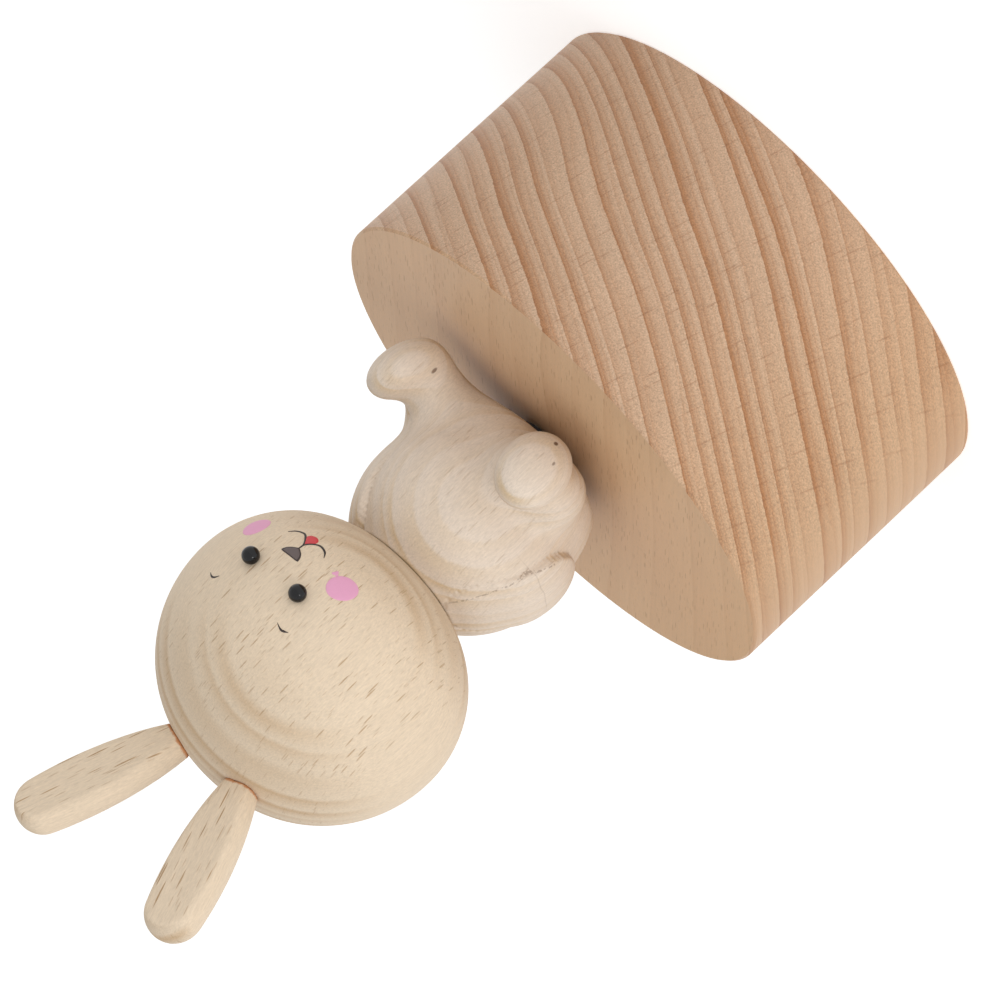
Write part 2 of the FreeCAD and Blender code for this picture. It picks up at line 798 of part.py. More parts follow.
def winding_arbor():
    """Stepped arbor from the plate down through the board to the key."""
    arbor = cylinder_z(arbor_r, board_recess - thrust_gap, plate_z + arbor_bite)
    arbor = arbor.fuse([
        cylinder_z(arbor_core_r, barrel_low_z + end_gap, crown_root_z - barrel_wall - end_gap),
        cylinder_z(key_shaft_r, key_top_z - key_bite, board_recess)])
    arbor.translate(Vector(barrel_x, 0, 0))
    return arbor


def ratchet_wheel():
    """Saw-toothed wheel on the arbor."""
    step = 360.0 / ratchet_teeth
    outline = []
    for tooth in range(ratchet_teeth):
        outline.append(polar(ratchet_r, tooth * step))
        outline.append(polar(ratchet_r - ratchet_depth, (tooth + ratchet_face_share) * step))
    wheel = prism(outline, ratchet_low_z, ratchet_top_z).cut(cylinder_z(arbor_r, 0, base_h))
    wheel.translate(Vector(barrel_x, 0, 0))
    return wheel


def winding_key():
    """Butterfly key: a round hub and two flat lobes with a hole in each."""
    mid_z = key_floor_gap + key_lobe_r
    key = cylinder_z(key_hub_r, key_top_z - key_hub_h, key_top_z)
    key = key.fuse(block(-key_lobe_out, key_lobe_out, -key_t / 2, key_t / 2,
                         mid_z - key_web_h / 2, mid_z + key_web_h / 2))
    sides = [Vector(side * key_lobe_out, -key_t / 2, mid_z) for side in (-1, 1)]
    key = key.fuse([Part.makeCylinder(key_lobe_r, key_t, side, Y) for side in sides])
    key = key.cut([Part.makeCylinder(key_hole_r, key_t, side, Y) for side in sides])
    key = key.cut(cylinder_z(key_shaft_r, key_top_z - key_bite, key_top_z)).removeSplitter()
    key.translate(Vector(barrel_x, 0, 0))
    return key


def tune_pin(track, note):
    """One square pin of the tune, at its place round the cylinder."""
    shuffle = (track * note * tune_shuffle) % tune_spread
    turn = math.radians(track * tune_step + note * 360.0 / pins_a_track + shuffle)
    away = Vector(0, math.cos(turn), math.sin(turn))
    foot = Vector(comb_x + (track + 0.5) * comb_pitch, 0, axis_z) + away * (cylinder_r - pin_sink)
    pin = Part.makeBox(pin_w, pin_w, pin_sink + pin_h, Vector(-pin_w / 2, -pin_w / 2, 0))
    pin.Placement = Placement(foot, Rotation(Z, away))
    return pin


def music_cylinder():
    """Hollow brass cylinder with the tune's pins, a ring of pins for each comb tooth."""
    drum = cylinder_along_x(cylinder_r, cylinder_x, cylinder_end_x, 0, axis_z)
    hollow = cylinder_along_x(cylinder_r - cylinder_wall, cylinder_x + cylinder_cap_t,
                              cylinder_end_x - cylinder_cap_t, 0, axis_z)
    drum = drum.cut(hollow).cut(cylinder_along_x(cylinder_arbor_r, -base_r, base_r, 0, axis_z))
    return drum.fuse([tune_pin(track, note) for track in range(comb_teeth) for note in range(pins_a_track)])


def cylinder_arbor():
    """Shaft of the cylinder between its two bearings."""
    end = right_bearing_x + bearing_t + thrust_gap
    return cylinder_along_x(cylinder_arbor_r, pinion_x, end, 0, axis_z)


def cylinder_pinion():
    """Pinion under the crown teeth, with a gap of its own straight up."""
    wheel = gear(cylinder_pinion_teeth, crown_module, crown_face - thrust_gap, cylinder_arbor_r)
    return on_x_axis(wheel, pinion_x, 0, axis_z, 180 / cylinder_pinion_teeth)


def cylinder_gear():
    """Wheel at the cylinder's right end, with a tooth towards the second arbor."""
    wheel = gear(cylinder_gear_teeth, train_module, gear_w, cylinder_arbor_r)
    return on_x_axis(wheel, gear_x, 0, axis_z, second_arbor_lift - 90)


def second_arbor():
    """Arbor above and behind the cylinder."""
    return cylinder_along_x(second_arbor_r, governor_left_x, worm_wheel_x + gear_w, second_y, second_z)


def second_pinion():
    """Pinion that the cylinder's wheel drives."""
    wheel = gear(second_pinion_teeth, train_module, gear_w, second_arbor_r)
    turn = second_arbor_lift + 90 + 180 / second_pinion_teeth
    return on_x_axis(wheel, gear_x, second_y, second_z, turn)


def worm_wheel():
    """Wheel that turns the governor's worm."""
    wheel = gear(worm_wheel_teeth, train_module, gear_w, second_arbor_r)
    return on_x_axis(wheel, worm_wheel_x, second_y, second_z, -90)


def governor_worm():
    """Upright worm: a thin shaft, a core and a helical rib whose gap meets the wheel."""
    length = worm_rise * worm_turns
    low = second_z - length / 2
    shaft = cylinder_z(governor_shaft_r, governor_low_z + thrust_gap, plate_z + pivot_bite)
    core = cylinder_z(worm_core_r, low - worm_core_end, low + length + worm_core_end)
    outer = worm_r + train_module * tip_share
    inner = worm_core_r - worm_sink
    corners = [Vector(inner, 0, -worm_rib_root / 2), Vector(outer, 0, -worm_rib_tip / 2),
               Vector(outer, 0, worm_rib_tip / 2), Vector(inner, 0, worm_rib_root / 2)]
    profile = Part.makePolygon(corners + [corners[0]])
    spine = Part.Wire(Part.makeHelix(worm_rise, length, worm_core_r))
    rib = spine.makePipeShell([profile], True, True)
    rib.translate(Vector(0, 0, low))
    rib.rotate(Vector(0, 0, 0), Z, -90 - 180 * (worm_turns - 1))
    worm = shaft.fuse(core).fuse(rib)
    worm.translate(Vector(worm_x, worm_y, 0))
    return worm


def governor_fan():
    """Air brake: a hub and two flat vanes, below the worm wheel and above the bracket's arm."""
    low = governor_low_z + bearing_t + clear_gap
    high = second_z - worm_wheel_tip_r - clear_gap
    fan = cylinder_z(governor_shaft_r + fan_hub_wall, low, high)
    fan = fan.fuse(block(-fan_r, fan_r, -fan_t / 2, fan_t / 2, low, high))
    fan = fan.cut(cylinder_z(governor_shaft_r, low, high))
    fan.translate(Vector(worm_x, worm_y, 0))
    return fan


def head_form():
    """The head as it leaves the lathe, with no holes."""
    return oval(head_r, head_up, head_up_side_turn, head_down, head_down_side_turn, head_mid_z)


def head_top_at(radius):
    """Height of the head's upper surface at a distance from its axis."""
    pole_r = oval_radii(head_r, head_up, head_up_side_turn)[1]
    return head_mid_z + head_up - pole_r + math.sqrt(pole_r ** 2 - radius ** 2)


def ear_blade():
    """Blade of an ear, upright: a turned bud with two flats, narrow at the root, round at the tip."""
    half_w = ear_w / 2
    half_root = ear_root_w / 2
    side_r = arc_radius(half_w, half_root, ear_wide_h)
    centre_x = half_w - side_r
    above = ear_length - ear_wide_h
    tip_r = (side_r ** 2 - centre_x ** 2 - above ** 2) / (2 * (side_r - above))
    tip_centre = Vector(0, 0, ear_length - tip_r)
    away = tip_centre - Vector(centre_x, 0, ear_wide_h)
    joint = tip_centre + away * (tip_r / away.Length)
    tip_turn = math.atan2(joint.x, joint.z - tip_centre.z) / 2
    tip_mid = tip_centre + Vector(tip_r * math.sin(tip_turn), 0, tip_r * math.cos(tip_turn))
    root = Vector(half_root, 0, 0)
    top = Vector(0, 0, ear_length)
    outline = Part.Wire([Part.Arc(root, Vector(half_w, 0, ear_wide_h), joint).toShape(),
                         Part.Arc(joint, tip_mid, top).toShape(),
                         Part.makeLine(top, Vector(0, 0, 0)),
                         Part.makeLine(Vector(0, 0, 0), root)])
    bud = Part.Face(outline).revolve(Vector(0, 0, 0), Z, 360)
    return bud.common(block(-ear_w, ear_w, -ear_t / 2, ear_t / 2, 0, ear_length))


def ear_place(side):
    """Placement of an ear's root on the head, leaning outward."""
    foot_z = head_top_at(math.hypot(ear_base_x, ear_base_y)) - ear_sink
    return Placement(Vector(side * ear_base_x, ear_base_y, foot_z), Rotation(Y, side * ear_lean))


def ear(side, head):
    """Ear with its tenon; the root is scribed to the head."""
    blade = ear_blade()
    blade.Placement = ear_place(side)
    tenon = cylinder_z(ear_tenon_r, -ear_tenon_l, ear_tenon_in_ear)
    tenon.Placement = ear_place(side)
    return blade.cut(head).fuse(tenon).removeSplitter()


def eye_centre(side):
    """Centre of an eye bead, its outer face standing proud of the head."""
    side_r = oval_radii(head_r, head_down, head_down_side_turn)[0]
    surface = head_r - side_r + math.sqrt(side_r ** 2 - eye_drop ** 2)
    return facing(face_turn + side * eye_turn, surface + eye_proud - eye_r, eye_z)


def rabbit_head():
    """Turned head with its dowel hole, eye sockets and ear mortises."""
    head = head_form()
    head = head.cut(cylinder_z(neck_dowel_r + glue_gap, 0, neck_dowel_high_z + glue_gap))
    for side in (-1, 1):
        head = head.cut(Part.makeSphere(eye_r + glue_gap, eye_centre(side)))
        mortise = cylinder_z(ear_tenon_r + glue_gap, -ear_tenon_l - glue_gap, ear_mortise_h)
        mortise.Placement = ear_place(side)
        head = head.cut(mortise)
    return head


def eye_bead(side):
    """Round black bead half sunk in the head."""
    return Part.makeSphere(eye_r, eye_centre(side))


def leg(side):
    """Leg that tapers from the body to the ankle, and an upright foot with round ends."""
    turn = side * leg_turn
    mid_z = body_low_z + leg_mid_h
    ankle = facing(turn, leg_ankle_out, mid_z)
    hip = facing(turn, leg_hip_out, mid_z + leg_rise)
    along = ankle - hip
    thigh = Part.makeCone(leg_hip_r, leg_ankle_r, along.Length, hip, along)
    foot = cylinder_z(foot_r, foot_r, foot_tall - foot_r)
    foot = foot.fuse([Part.makeSphere(foot_r, Vector(0, 0, foot_r)),
                      Part.makeSphere(foot_r, Vector(0, 0, foot_tall - foot_r))]).removeSplitter()
    lean = Rotation(Z, turn).multiply(Rotation(X, foot_lean))
    foot.Placement = Placement(facing(turn, foot_out, body_low_z + foot_sole_h), lean)
    return thigh, foot


def arm(turn, reach, mid_h, hand_mid_h, tilt):
    """Arm in low relief: the part of a turned dome inside an outline of hand and shoulder."""
    dome = oval(reach, arm_dome_h, arm_dome_side_turn, arm_dome_h, arm_dome_side_turn, body_low_z + mid_h)
    lean = (hand_r - shoulder_r) / arm_l
    level = math.sqrt(1 - lean ** 2)
    low_w = hand_r * level
    high_w = shoulder_r * level
    low_h = hand_r * lean
    high_h = arm_l + shoulder_r * lean
    corners = [(-low_w, low_h), (low_w, low_h), (high_w, high_h), (-high_w, high_h)]
    outline = side_prism(corners, arm_root_out, base_r)
    outline = outline.fuse([cylinder_along_x(hand_r, arm_root_out, base_r),
                            cylinder_along_x(shoulder_r, arm_root_out, base_r, 0, arm_l)])
    outline.rotate(Vector(0, 0, 0), X, -tilt)
    outline.rotate(Vector(0, 0, 0), Z, turn - 90)
    outline.translate(Vector(0, 0, body_low_z + hand_mid_h))
    return dome.common(outline.removeSplitter())


def torso():
    """Round belly that tapers to the neck."""
    belly = Part.makeSphere(belly_r, Vector(0, 0, belly_z))
    belly = belly.cut(block(-base_r, base_r, -base_r, base_r, belly_round_z, neck_z + belly_r))
    taper = Part.makeCone(belly_round_r, neck_r, neck_z - belly_round_z, Vector(0, 0, belly_round_z), Z)
    return belly.fuse(taper)


def tail_peg(gap=0.0):
    """Peg that holds the tail in the back of the body."""
    start = tail_seat_y - tail_peg_l - gap
    return Part.makeCylinder(tail_peg_r + gap, tail_out - start, Vector(0, start, tail_z), Y)


def rabbit_body():
    """Body, legs and arms carved from one block, dished on top for the head."""
    right_arm = arm(right_arm_turn, right_arm_reach, right_arm_mid_h, right_hand_mid_h, right_arm_tilt)
    left_arm = arm(left_arm_turn, left_arm_reach, left_arm_mid_h, left_hand_mid_h, left_arm_tilt)
    body = torso().fuse([*leg(-1), *leg(1), right_arm, left_arm])
    body = body.cut(head_form())
    body = body.cut(block(-base_r, base_r, -base_r, base_r, 0, body_low_z))
    body = body.cut(cylinder_z(hub_boss_r + glue_gap, 0, body_low_z + hub_boss_h + end_gap))
    body = body.cut(cylinder_z(neck_dowel_r + glue_gap, neck_dowel_low_z - glue_gap, neck_dowel_high_z))
    seat = Part.makeCylinder(tail_spot_r, base_r, Vector(0, tail_seat_y, tail_z), Y)
    return body.cut([tail_peg(glue_gap), seat])


def neck_dowel():
    """Beech dowel that joins body and head."""
    return cylinder_z(neck_dowel_r, neck_dowel_low_z, neck_dowel_high_z)


def tail():
    """Small round tail with a flat seat, glued to the back on a peg."""
    bead = Part.makeSphere(tail_r, Vector(0, tail_out, tail_z))
    front = block(-tail_r, tail_r, 0, tail_seat_y, tail_z - tail_r, tail_z + tail_r)
    return bead.cut(front).fuse(tail_peg())


def build():
    """Every node of the music box by name."""
    head_blank = head_form()
    return {
        "base_shell": base_shell(),
        "bottom_board": bottom_board(),
        "bottom_screws": bottom_screws(),
        "bedplate": bedplate(),
        "movement_screws": movement_screws(),
        "comb": comb(),
        "comb_weights": comb_weights(),
        "comb_screws": comb_screws(),
        "cylinder_bracket": cylinder_bracket(),
        "train_plate": train_plate(),
        "governor_bracket": governor_bracket(),
        "lower_bridge": lower_bridge(),
        "spindle_bush": spindle_bush(),
        "click": click(),
        "click_pin": click_pin(),
        "click_spring": click_spring(),
        "spindle": spindle(),
        "spindle_gear": spindle_gear(),
        "hub": hub(),
        "rabbit_body": rabbit_body(),
        "neck_dowel": neck_dowel(),
        "rabbit_head": rabbit_head(),
        "ear_right": ear(-1, head_blank),
        "ear_left": ear(1, head_blank),
        "eye_right": eye_bead(-1),
        "eye_left": eye_bead(1),
        "tail": tail(),
        "great_wheel": great_wheel(),
        "spring_barrel": spring_barrel(),
        "barrel_cover": barrel_cover(),
        "mainspring": mainspring(),
        "winding_arbor": winding_arbor(),
        "ratchet_wheel": ratchet_wheel(),
        "winding_key": winding_key(),
        "music_cylinder": music_cylinder(),
        "cylinder_arbor": cylinder_arbor(),
        "cylinder_pinion": cylinder_pinion(),
        "cylinder_gear": cylinder_gear(),
        "second_arbor": second_arbor(),
        "second_pinion": second_pinion(),
        "worm_wheel": worm_wheel(),
        "governor_worm": governor_worm(),
        "governor_fan": governor_fan(),
    }


def main():
    """Write each node to its own file."""
    os.makedirs("parts", exist_ok=True)
    for name, shape in build().items():
        shape.exportStep("parts/" + name + ".step")


main()
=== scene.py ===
"""Looks of a wooden music box: a turned beech base with a rabbit that turns on top. Sizes are in
millimetres, and meshes are scaled to metres when they are made. The rabbit looks along -Y, and its own right
is -X."""

import math

import bpy
import numpy as np
from mathutils import Matrix, Vector
from mathutils.bvhtree import BVHTree


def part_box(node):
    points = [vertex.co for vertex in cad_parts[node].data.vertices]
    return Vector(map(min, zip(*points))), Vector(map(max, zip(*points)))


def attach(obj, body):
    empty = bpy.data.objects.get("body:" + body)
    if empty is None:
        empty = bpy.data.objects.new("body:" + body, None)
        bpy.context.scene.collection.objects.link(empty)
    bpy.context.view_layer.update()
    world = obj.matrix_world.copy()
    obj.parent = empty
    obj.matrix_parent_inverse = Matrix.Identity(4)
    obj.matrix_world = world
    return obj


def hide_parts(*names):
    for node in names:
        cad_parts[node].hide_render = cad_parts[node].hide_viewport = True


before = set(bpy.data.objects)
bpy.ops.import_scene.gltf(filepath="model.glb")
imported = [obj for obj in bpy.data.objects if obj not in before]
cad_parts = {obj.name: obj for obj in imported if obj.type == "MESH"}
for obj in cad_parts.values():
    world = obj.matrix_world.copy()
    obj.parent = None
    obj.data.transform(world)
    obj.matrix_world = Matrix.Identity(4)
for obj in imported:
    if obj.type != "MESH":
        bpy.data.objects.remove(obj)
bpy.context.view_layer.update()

MM = 0.001
SIDES = ((-1, "right"), (1, "left"))
WHITE = (1.0, 1.0, 1.0)

# Camera of the photograph, which looks at the box from its front right and is rolled far over
PHOTO_PX = 1001
FOCAL_PX = 6018.0
CAMERA_AWAY = 835.5
CAMERA_SIDE_TURN = -39.0
CAMERA_LIFT = 14.35
CAMERA_ROLL = 132.81
AIM_SIDE = -0.70
AIM_Z = 52.85
SENSOR = 36.0
CLIP_M = (0.01, 20.0)

# Light: the room is brighter at the camera's left, with a weak lamp there, and the table glows a little
ROOM_LIGHT = 0.71
ROOM_SLOPE = 0.36
ROOM_LEAST = 0.2
ROOM_TURN = -40.0
KEY_POWER = 0.85
KEY_SIZE = 200.0
KEY_AWAY = 900.0
KEY_TURN = -38.0
KEY_LIFT = 12.0
TABLE_PAINT = 0.86
TABLE_GLOW = 0.24
TABLE_SEEN_GLOW = 0.26
FLOOR_SIZE = 8000.0

# Grain of the base: turn of its fibres from +X, and the direction across its growth rings
BASE_FIBRE_TURN = 67.5
BASE_RINGS = (0.511, -0.211, 1.0)
BASE_RING_STEP = 2.6

# Directions across the rings of the other pieces
BOARD_RINGS = (0.0, 0.3, 1.0)
BOARD_RING_STEP = 1.6
FIGURE_RINGS = (-0.5, -0.8, 0.0)
EAR_RINGS = (0.2, -1.0, 0.0)
BODY_RINGS = (-0.55, -0.83, 0.0)

# Painted light on the base: its colour is tinted warm at the camera's left, where the room is brighter, and
# cool at the right. Places are along a direction, from the base's axis
LIGHT_TINT_WAY = (0.777, -0.629, 0.0)
LIGHT_TINT_FROM = -50.0
LIGHT_TINT_TO = 10.0
WARM_LIGHT_TINT = (0.945, 0.90, 0.78)
COOL_LIGHT_TINT = (0.965, 0.985, 1.01)

# Wood in general. Sizes of its noises are along the fibres, across them and across the rings
DRIFT_GRAIN = (80, 40, 40)
DRIFT_RINGS = 1.6
UNEVEN_GRAIN = (400, 200, 1.7)
UNEVEN_RINGS = 1.5
RIPPLE_GRAIN = (10, 0.8, 0.8)
PATCH_GRAIN = (6, 2.5, 2.5)
TONE_GRAIN = (30, 9, 9)
STREAK_GRAIN = (9, 0.3, 0.3)
SPECK_GRAIN = (0.9, 0.22, 0.22)
RING_LEAST = 0.4
RING_CHANGE = 0.8
LATE_CURVE = 1.4
LINE_RANGE = (0.86, 0.95)
LINE_PATCHES = (0.3, 0.65)
FINE_RATE = 2.63
FINE_SHIFT = 1.7
FINE_CURVE = 3.0
FLAT_RANGE = (0.55, 0.8)
FLECK_SLANT = 2.9
FLECK_EDGE = (0.30, 0.20)
FLECK_FACING = (0.9, 0.6)
FLECK_FADE_IN = 0.25
FLECK_END_FADE = 0.6
SMALL_FLECKS = 0.45
SMALL_LONG = 0.5
SMALL_WIDE = 0.8
SMALL_SHIFT = 41.7
RAY_WIDE = 0.95
RAY_TALL = 18.0
RAY_LEAN = 0.37
RAY_SHARES = (1.0, 1.0, 0.5)
RAY_EDGE = (0.14, 0.04)
RAY_PATCHES = (0.32, 0.52)
WOOD_BUMP = 0.03

# Shifts along the fibres, so that pieces from different boards don't match
EAR_SHIFTS = {"right": 31.0, "left": 77.0}
BODY_SHIFT = 120.0

# Rabbit's body: turns are from the front, heights are above its underside
BELLY_R = 14.3
BELLY_H = 9.4
CHEST_R = 15.5
CHEST_H = 14.1
NECK_R = 9.3
NECK_H = 25.0
NECK_BLEND = 1.5
LEG_TURN = 41.0
HIP_R = 6.0
HIP_OUT = 5.0
HIP_H = 7.4
ANKLE_R = 4.2
ANKLE_OUT = 18.6
ANKLE_H = 5.6
LEG_BLEND = 4.0
FOOT_OUT = 21.8
FOOT_H = 7.1
FOOT_DEEP = 3.7
FOOT_WIDE = 4.8
FOOT_TALL = 6.1
FOOT_LEAN = 14.0
FOOT_BLEND = 2.2
FEET_UNEVEN = 0.75
HEEL_TURN = 58.0
HEEL_R = 4.8
HEEL_OUT = 13.5
HEEL_DEEP = 5.0
HEEL_H = 5.5
HEEL_BLEND = 3.0
ARM_UP = 14.6
ARM_DOWN = 12.7
ARM_LONG = 7.0
HAND_R = 6.8
SHOULDER_R = 5.5
ARM_EDGE = 0.6
ARM_BLEND = 0.3
SOLE_ROUND = 2.0
GLUE_GAP = 0.05
BOSS_R = 3.0
DISH_R = 16.0
DISH_STEPS = 40

# Meshes of the carved forms: cells, rounds that even and settle the points, and a taper's nearly equal balls
BODY_CELL = 0.26
EAR_CELL = 0.3
EVEN_ROUNDS = 3
EVEN_SHARE = 0.6
SETTLE_STEPS = 4
SETTLE_REACH = 0.02
LEAST_SLOPE = 0.2
NEARLY = 0.999

# Distance from the axis for a ray that meets a pole
BESIDE_AXIS = 0.01

# Chipped line that the carver left along the front of each arm
CHIP_R = 0.15
CHIP_CHANGE = 0.09
CHIP_STEP = 0.11
CHIP_FINE = 2.3
CHIP_SLOW = 0.7
CHIP_DRIFT = 1.7

# Small pores on the feet, as place, size and darkness
SOLE_MARKS = (((-14.94, -18.19, 47.84), 0.42, 0.9), ((-17.14, -18.09, 50.33), 0.25, 0.6),
              ((9.46, -17.91, 49.25), 0.33, 0.75))
PORE_TALL = 2.2
PORE_EDGE = (1.0, 0.45)

# Faint seam across the right arm, and painted shade of small chips along that arm's front line, which bends
# forward below
SEAM_Z = 60.1
SEAM_X = -14.8
SEAM_WAVE = 1.2
SEAM_EDGE = (0.14, 0.03)
SEAM_DARK = 0.16
ARM_LINE_Y = -2.6
ARM_LINE_X = -10.0
ARM_BEND_Z = 60.2
ARM_BEND = 0.43
ARM_END_Z = 55.2
ARM_END_SOFT = 0.6
CHIP_SHADE_EDGE = (0.20, 0.08)
CHIP_SHADE_BROKEN = (0.46, 0.56)
CHIP_SHADE_DARK = 0.42

# Glue that shows above the head's surface round the ears
GLUE_EDGE = (0.25, -0.15)
GLUE_RAGGED = 0.7
GLUE_DARK = 0.85

# Ears: sizes along and across the blade, which leans out from the head
EAR_OUT = 6.4
EAR_BACK = 0.3
EAR_LEAN = 22.5
EAR_LONG = 25.8
EAR_WIDE = 8.85
EAR_WIDE_H = 15.8
EAR_ROOT_WIDE = 4.7
EAR_DEEP = 4.8
EAR_SINK = 1.2
EAR_EDGE = 0.45

# Head: heights above and below its widest place, and the turn of each half's side arc
HEAD_UP = 21.3
HEAD_UP_TURN = 67.4
HEAD_DOWN = 18.1
HEAD_DOWN_TURN = 76.3
HEAD_ROWS = 90
NECK_RIM = 1.05

# Eye beads: they stand out from the head by more than half, on a thin pin
BEAD_R = 1.28
BEAD_OUT = 0.85
BEAD_DROP = 0.25
BEAD_TURNS = {-1: -17.2, 1: 6.9}
BEAD_PIN_R = 0.35
BEAD_PIN_LONG = 1.2
BEAD_ROWS = 40
BEAD_SIDES = 48

# Paint on the face, in millimetres as seen from straight ahead: across to the rabbit's left, and height
PAINT_DEEP = 0.07
PAINT_SUNK = 0.05
CHEEK_R = 2.05
CHEEK_NARROW = 0.9
NOSE_EDGE = 0.16
NOSE_STEPS = 48
NOSE_DEEP = PAINT_DEEP * 1.3
TONGUE_STEPS = 40
TONGUE_DEEP = PAINT_DEEP * 0.8
NOSE = ((-2.60, 84.05), (-2.2, 84.16), (-0.85, 84.16), (0.5, 84.16), (0.90, 84.05), (0.72, 83.4),
        (0.2, 82.85), (-0.45, 82.42), (-0.75, 82.34), (-1.05, 82.42), (-1.8, 82.85), (-2.3, 83.4))
TONGUE = ((-0.55, 81.2), (-0.9, 80.65), (-1.3, 80.15), (-1.1, 79.55), (-0.35, 79.25), (0.4, 79.5),
          (0.65, 80.05), (0.2, 80.6), (-0.2, 81.2), (-0.55, 81.2))

# Brush lines: places, and the brush's width at even steps along them
STROKE_STEPS = 28
MOUTH = {
    "mouth_right": (((-0.70, 82.35), (-0.62, 81.5), (-1.12, 80.6), (-2.09, 79.99), (-3.37, 80.3),
                     (-4.20, 81.1)), (0.24, 0.24, 0.288, 0.312, 0.288, 0.05)),
    "mouth_left": (((-0.70, 82.35), (-0.50, 81.5), (0.29, 80.6), (1.40, 79.95), (2.62, 80.35),
                    (3.32, 81.2)), (0.24, 0.24, 0.288, 0.288, 0.24, 0.05)),
}
BROWS = {
    "brow_right": (((-9.05, 92.2), (-8.5, 92.5), (-8.0, 92.6), (-7.1, 92.25)), (0.04, 0.3, 0.28, 0.04)),
    "brow_left": (((5.35, 92.15), (5.95, 92.62), (6.6, 92.72), (7.45, 92.35)), (0.04, 0.28, 0.3, 0.04)),
}

# Pink spots: place across and up, radius, unevenness, number of points and depth
PINK_SPOTS = {
    "cheek_right": (-9.25, 82.62, CHEEK_R, 0.015, 56, 0.049),
    "cheek_left": (8.5, 83.1, CHEEK_R, 0.02, 56, 0.049),
    "cheek_drip": (-7.1, 81.65, 0.42, 0.25, 24, 0.042),
}

# Films of paint, from their underside to their top: share of the way out from the middle, and level, where -1
# is sunk in the wood and 1 is the full depth
SPOT_FILM = ((0.05, -1), (0.5, -1), (0.97, -1), (1.0, 0), (0.985, 0.6), (0.94, 1), (0.7, 1), (0.4, 1),
             (0.05, 1))
STROKE_FILM = ((0.05, -1), (0.95, -1), (1.0, 0), (0.9, 0.6), (0.6, 1), (0.05, 1))


def box_mm(node):
    """Lowest and highest corner of a CAD node, in millimetres."""
    low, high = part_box(node)
    return np.array(low) / MM, np.array(high) / MM


body_low, body_high = box_mm("rabbit_body")
body_low_z = body_low[2]
head_low, head_high = box_mm("rabbit_head")
dowel_low, dowel_high = box_mm("neck_dowel")
hub_top_z = box_mm("hub")[1][2]
head_tree = BVHTree.FromObject(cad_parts["rabbit_head"], bpy.context.evaluated_depsgraph_get())


def head_over(radius):
    """Height of the head's upper surface at a distance from its axis, measured toward its back."""
    hit = head_tree.ray_cast(Vector((0, radius * MM, head_high[2] * MM + MM)), Vector((0, 0, -1)))[0]
    return hit.z / MM


ear_foot_z = head_over(math.hypot(EAR_OUT, EAR_BACK)) - EAR_SINK
crown_drop = head_over(BESIDE_AXIS) - head_over(EAR_OUT)
crown_r = (EAR_OUT ** 2 + crown_drop ** 2) / (2 * crown_drop)
crown_z = head_over(BESIDE_AXIS) - crown_r


def make_mesh(name, points, faces, material, smooth=True):
    """A new mesh object from points in millimetres."""
    mesh = bpy.data.meshes.new(name)
    mesh.from_pydata([tuple(p) for p in np.asarray(points, float) * MM], [], [tuple(f) for f in faces])
    mesh.polygons.foreach_set("use_smooth", [smooth] * len(mesh.polygons))
    mesh.materials.append(material)
    mesh.update()
    made = bpy.data.objects.new(name, mesh)
    bpy.context.scene.collection.objects.link(made)
    return made


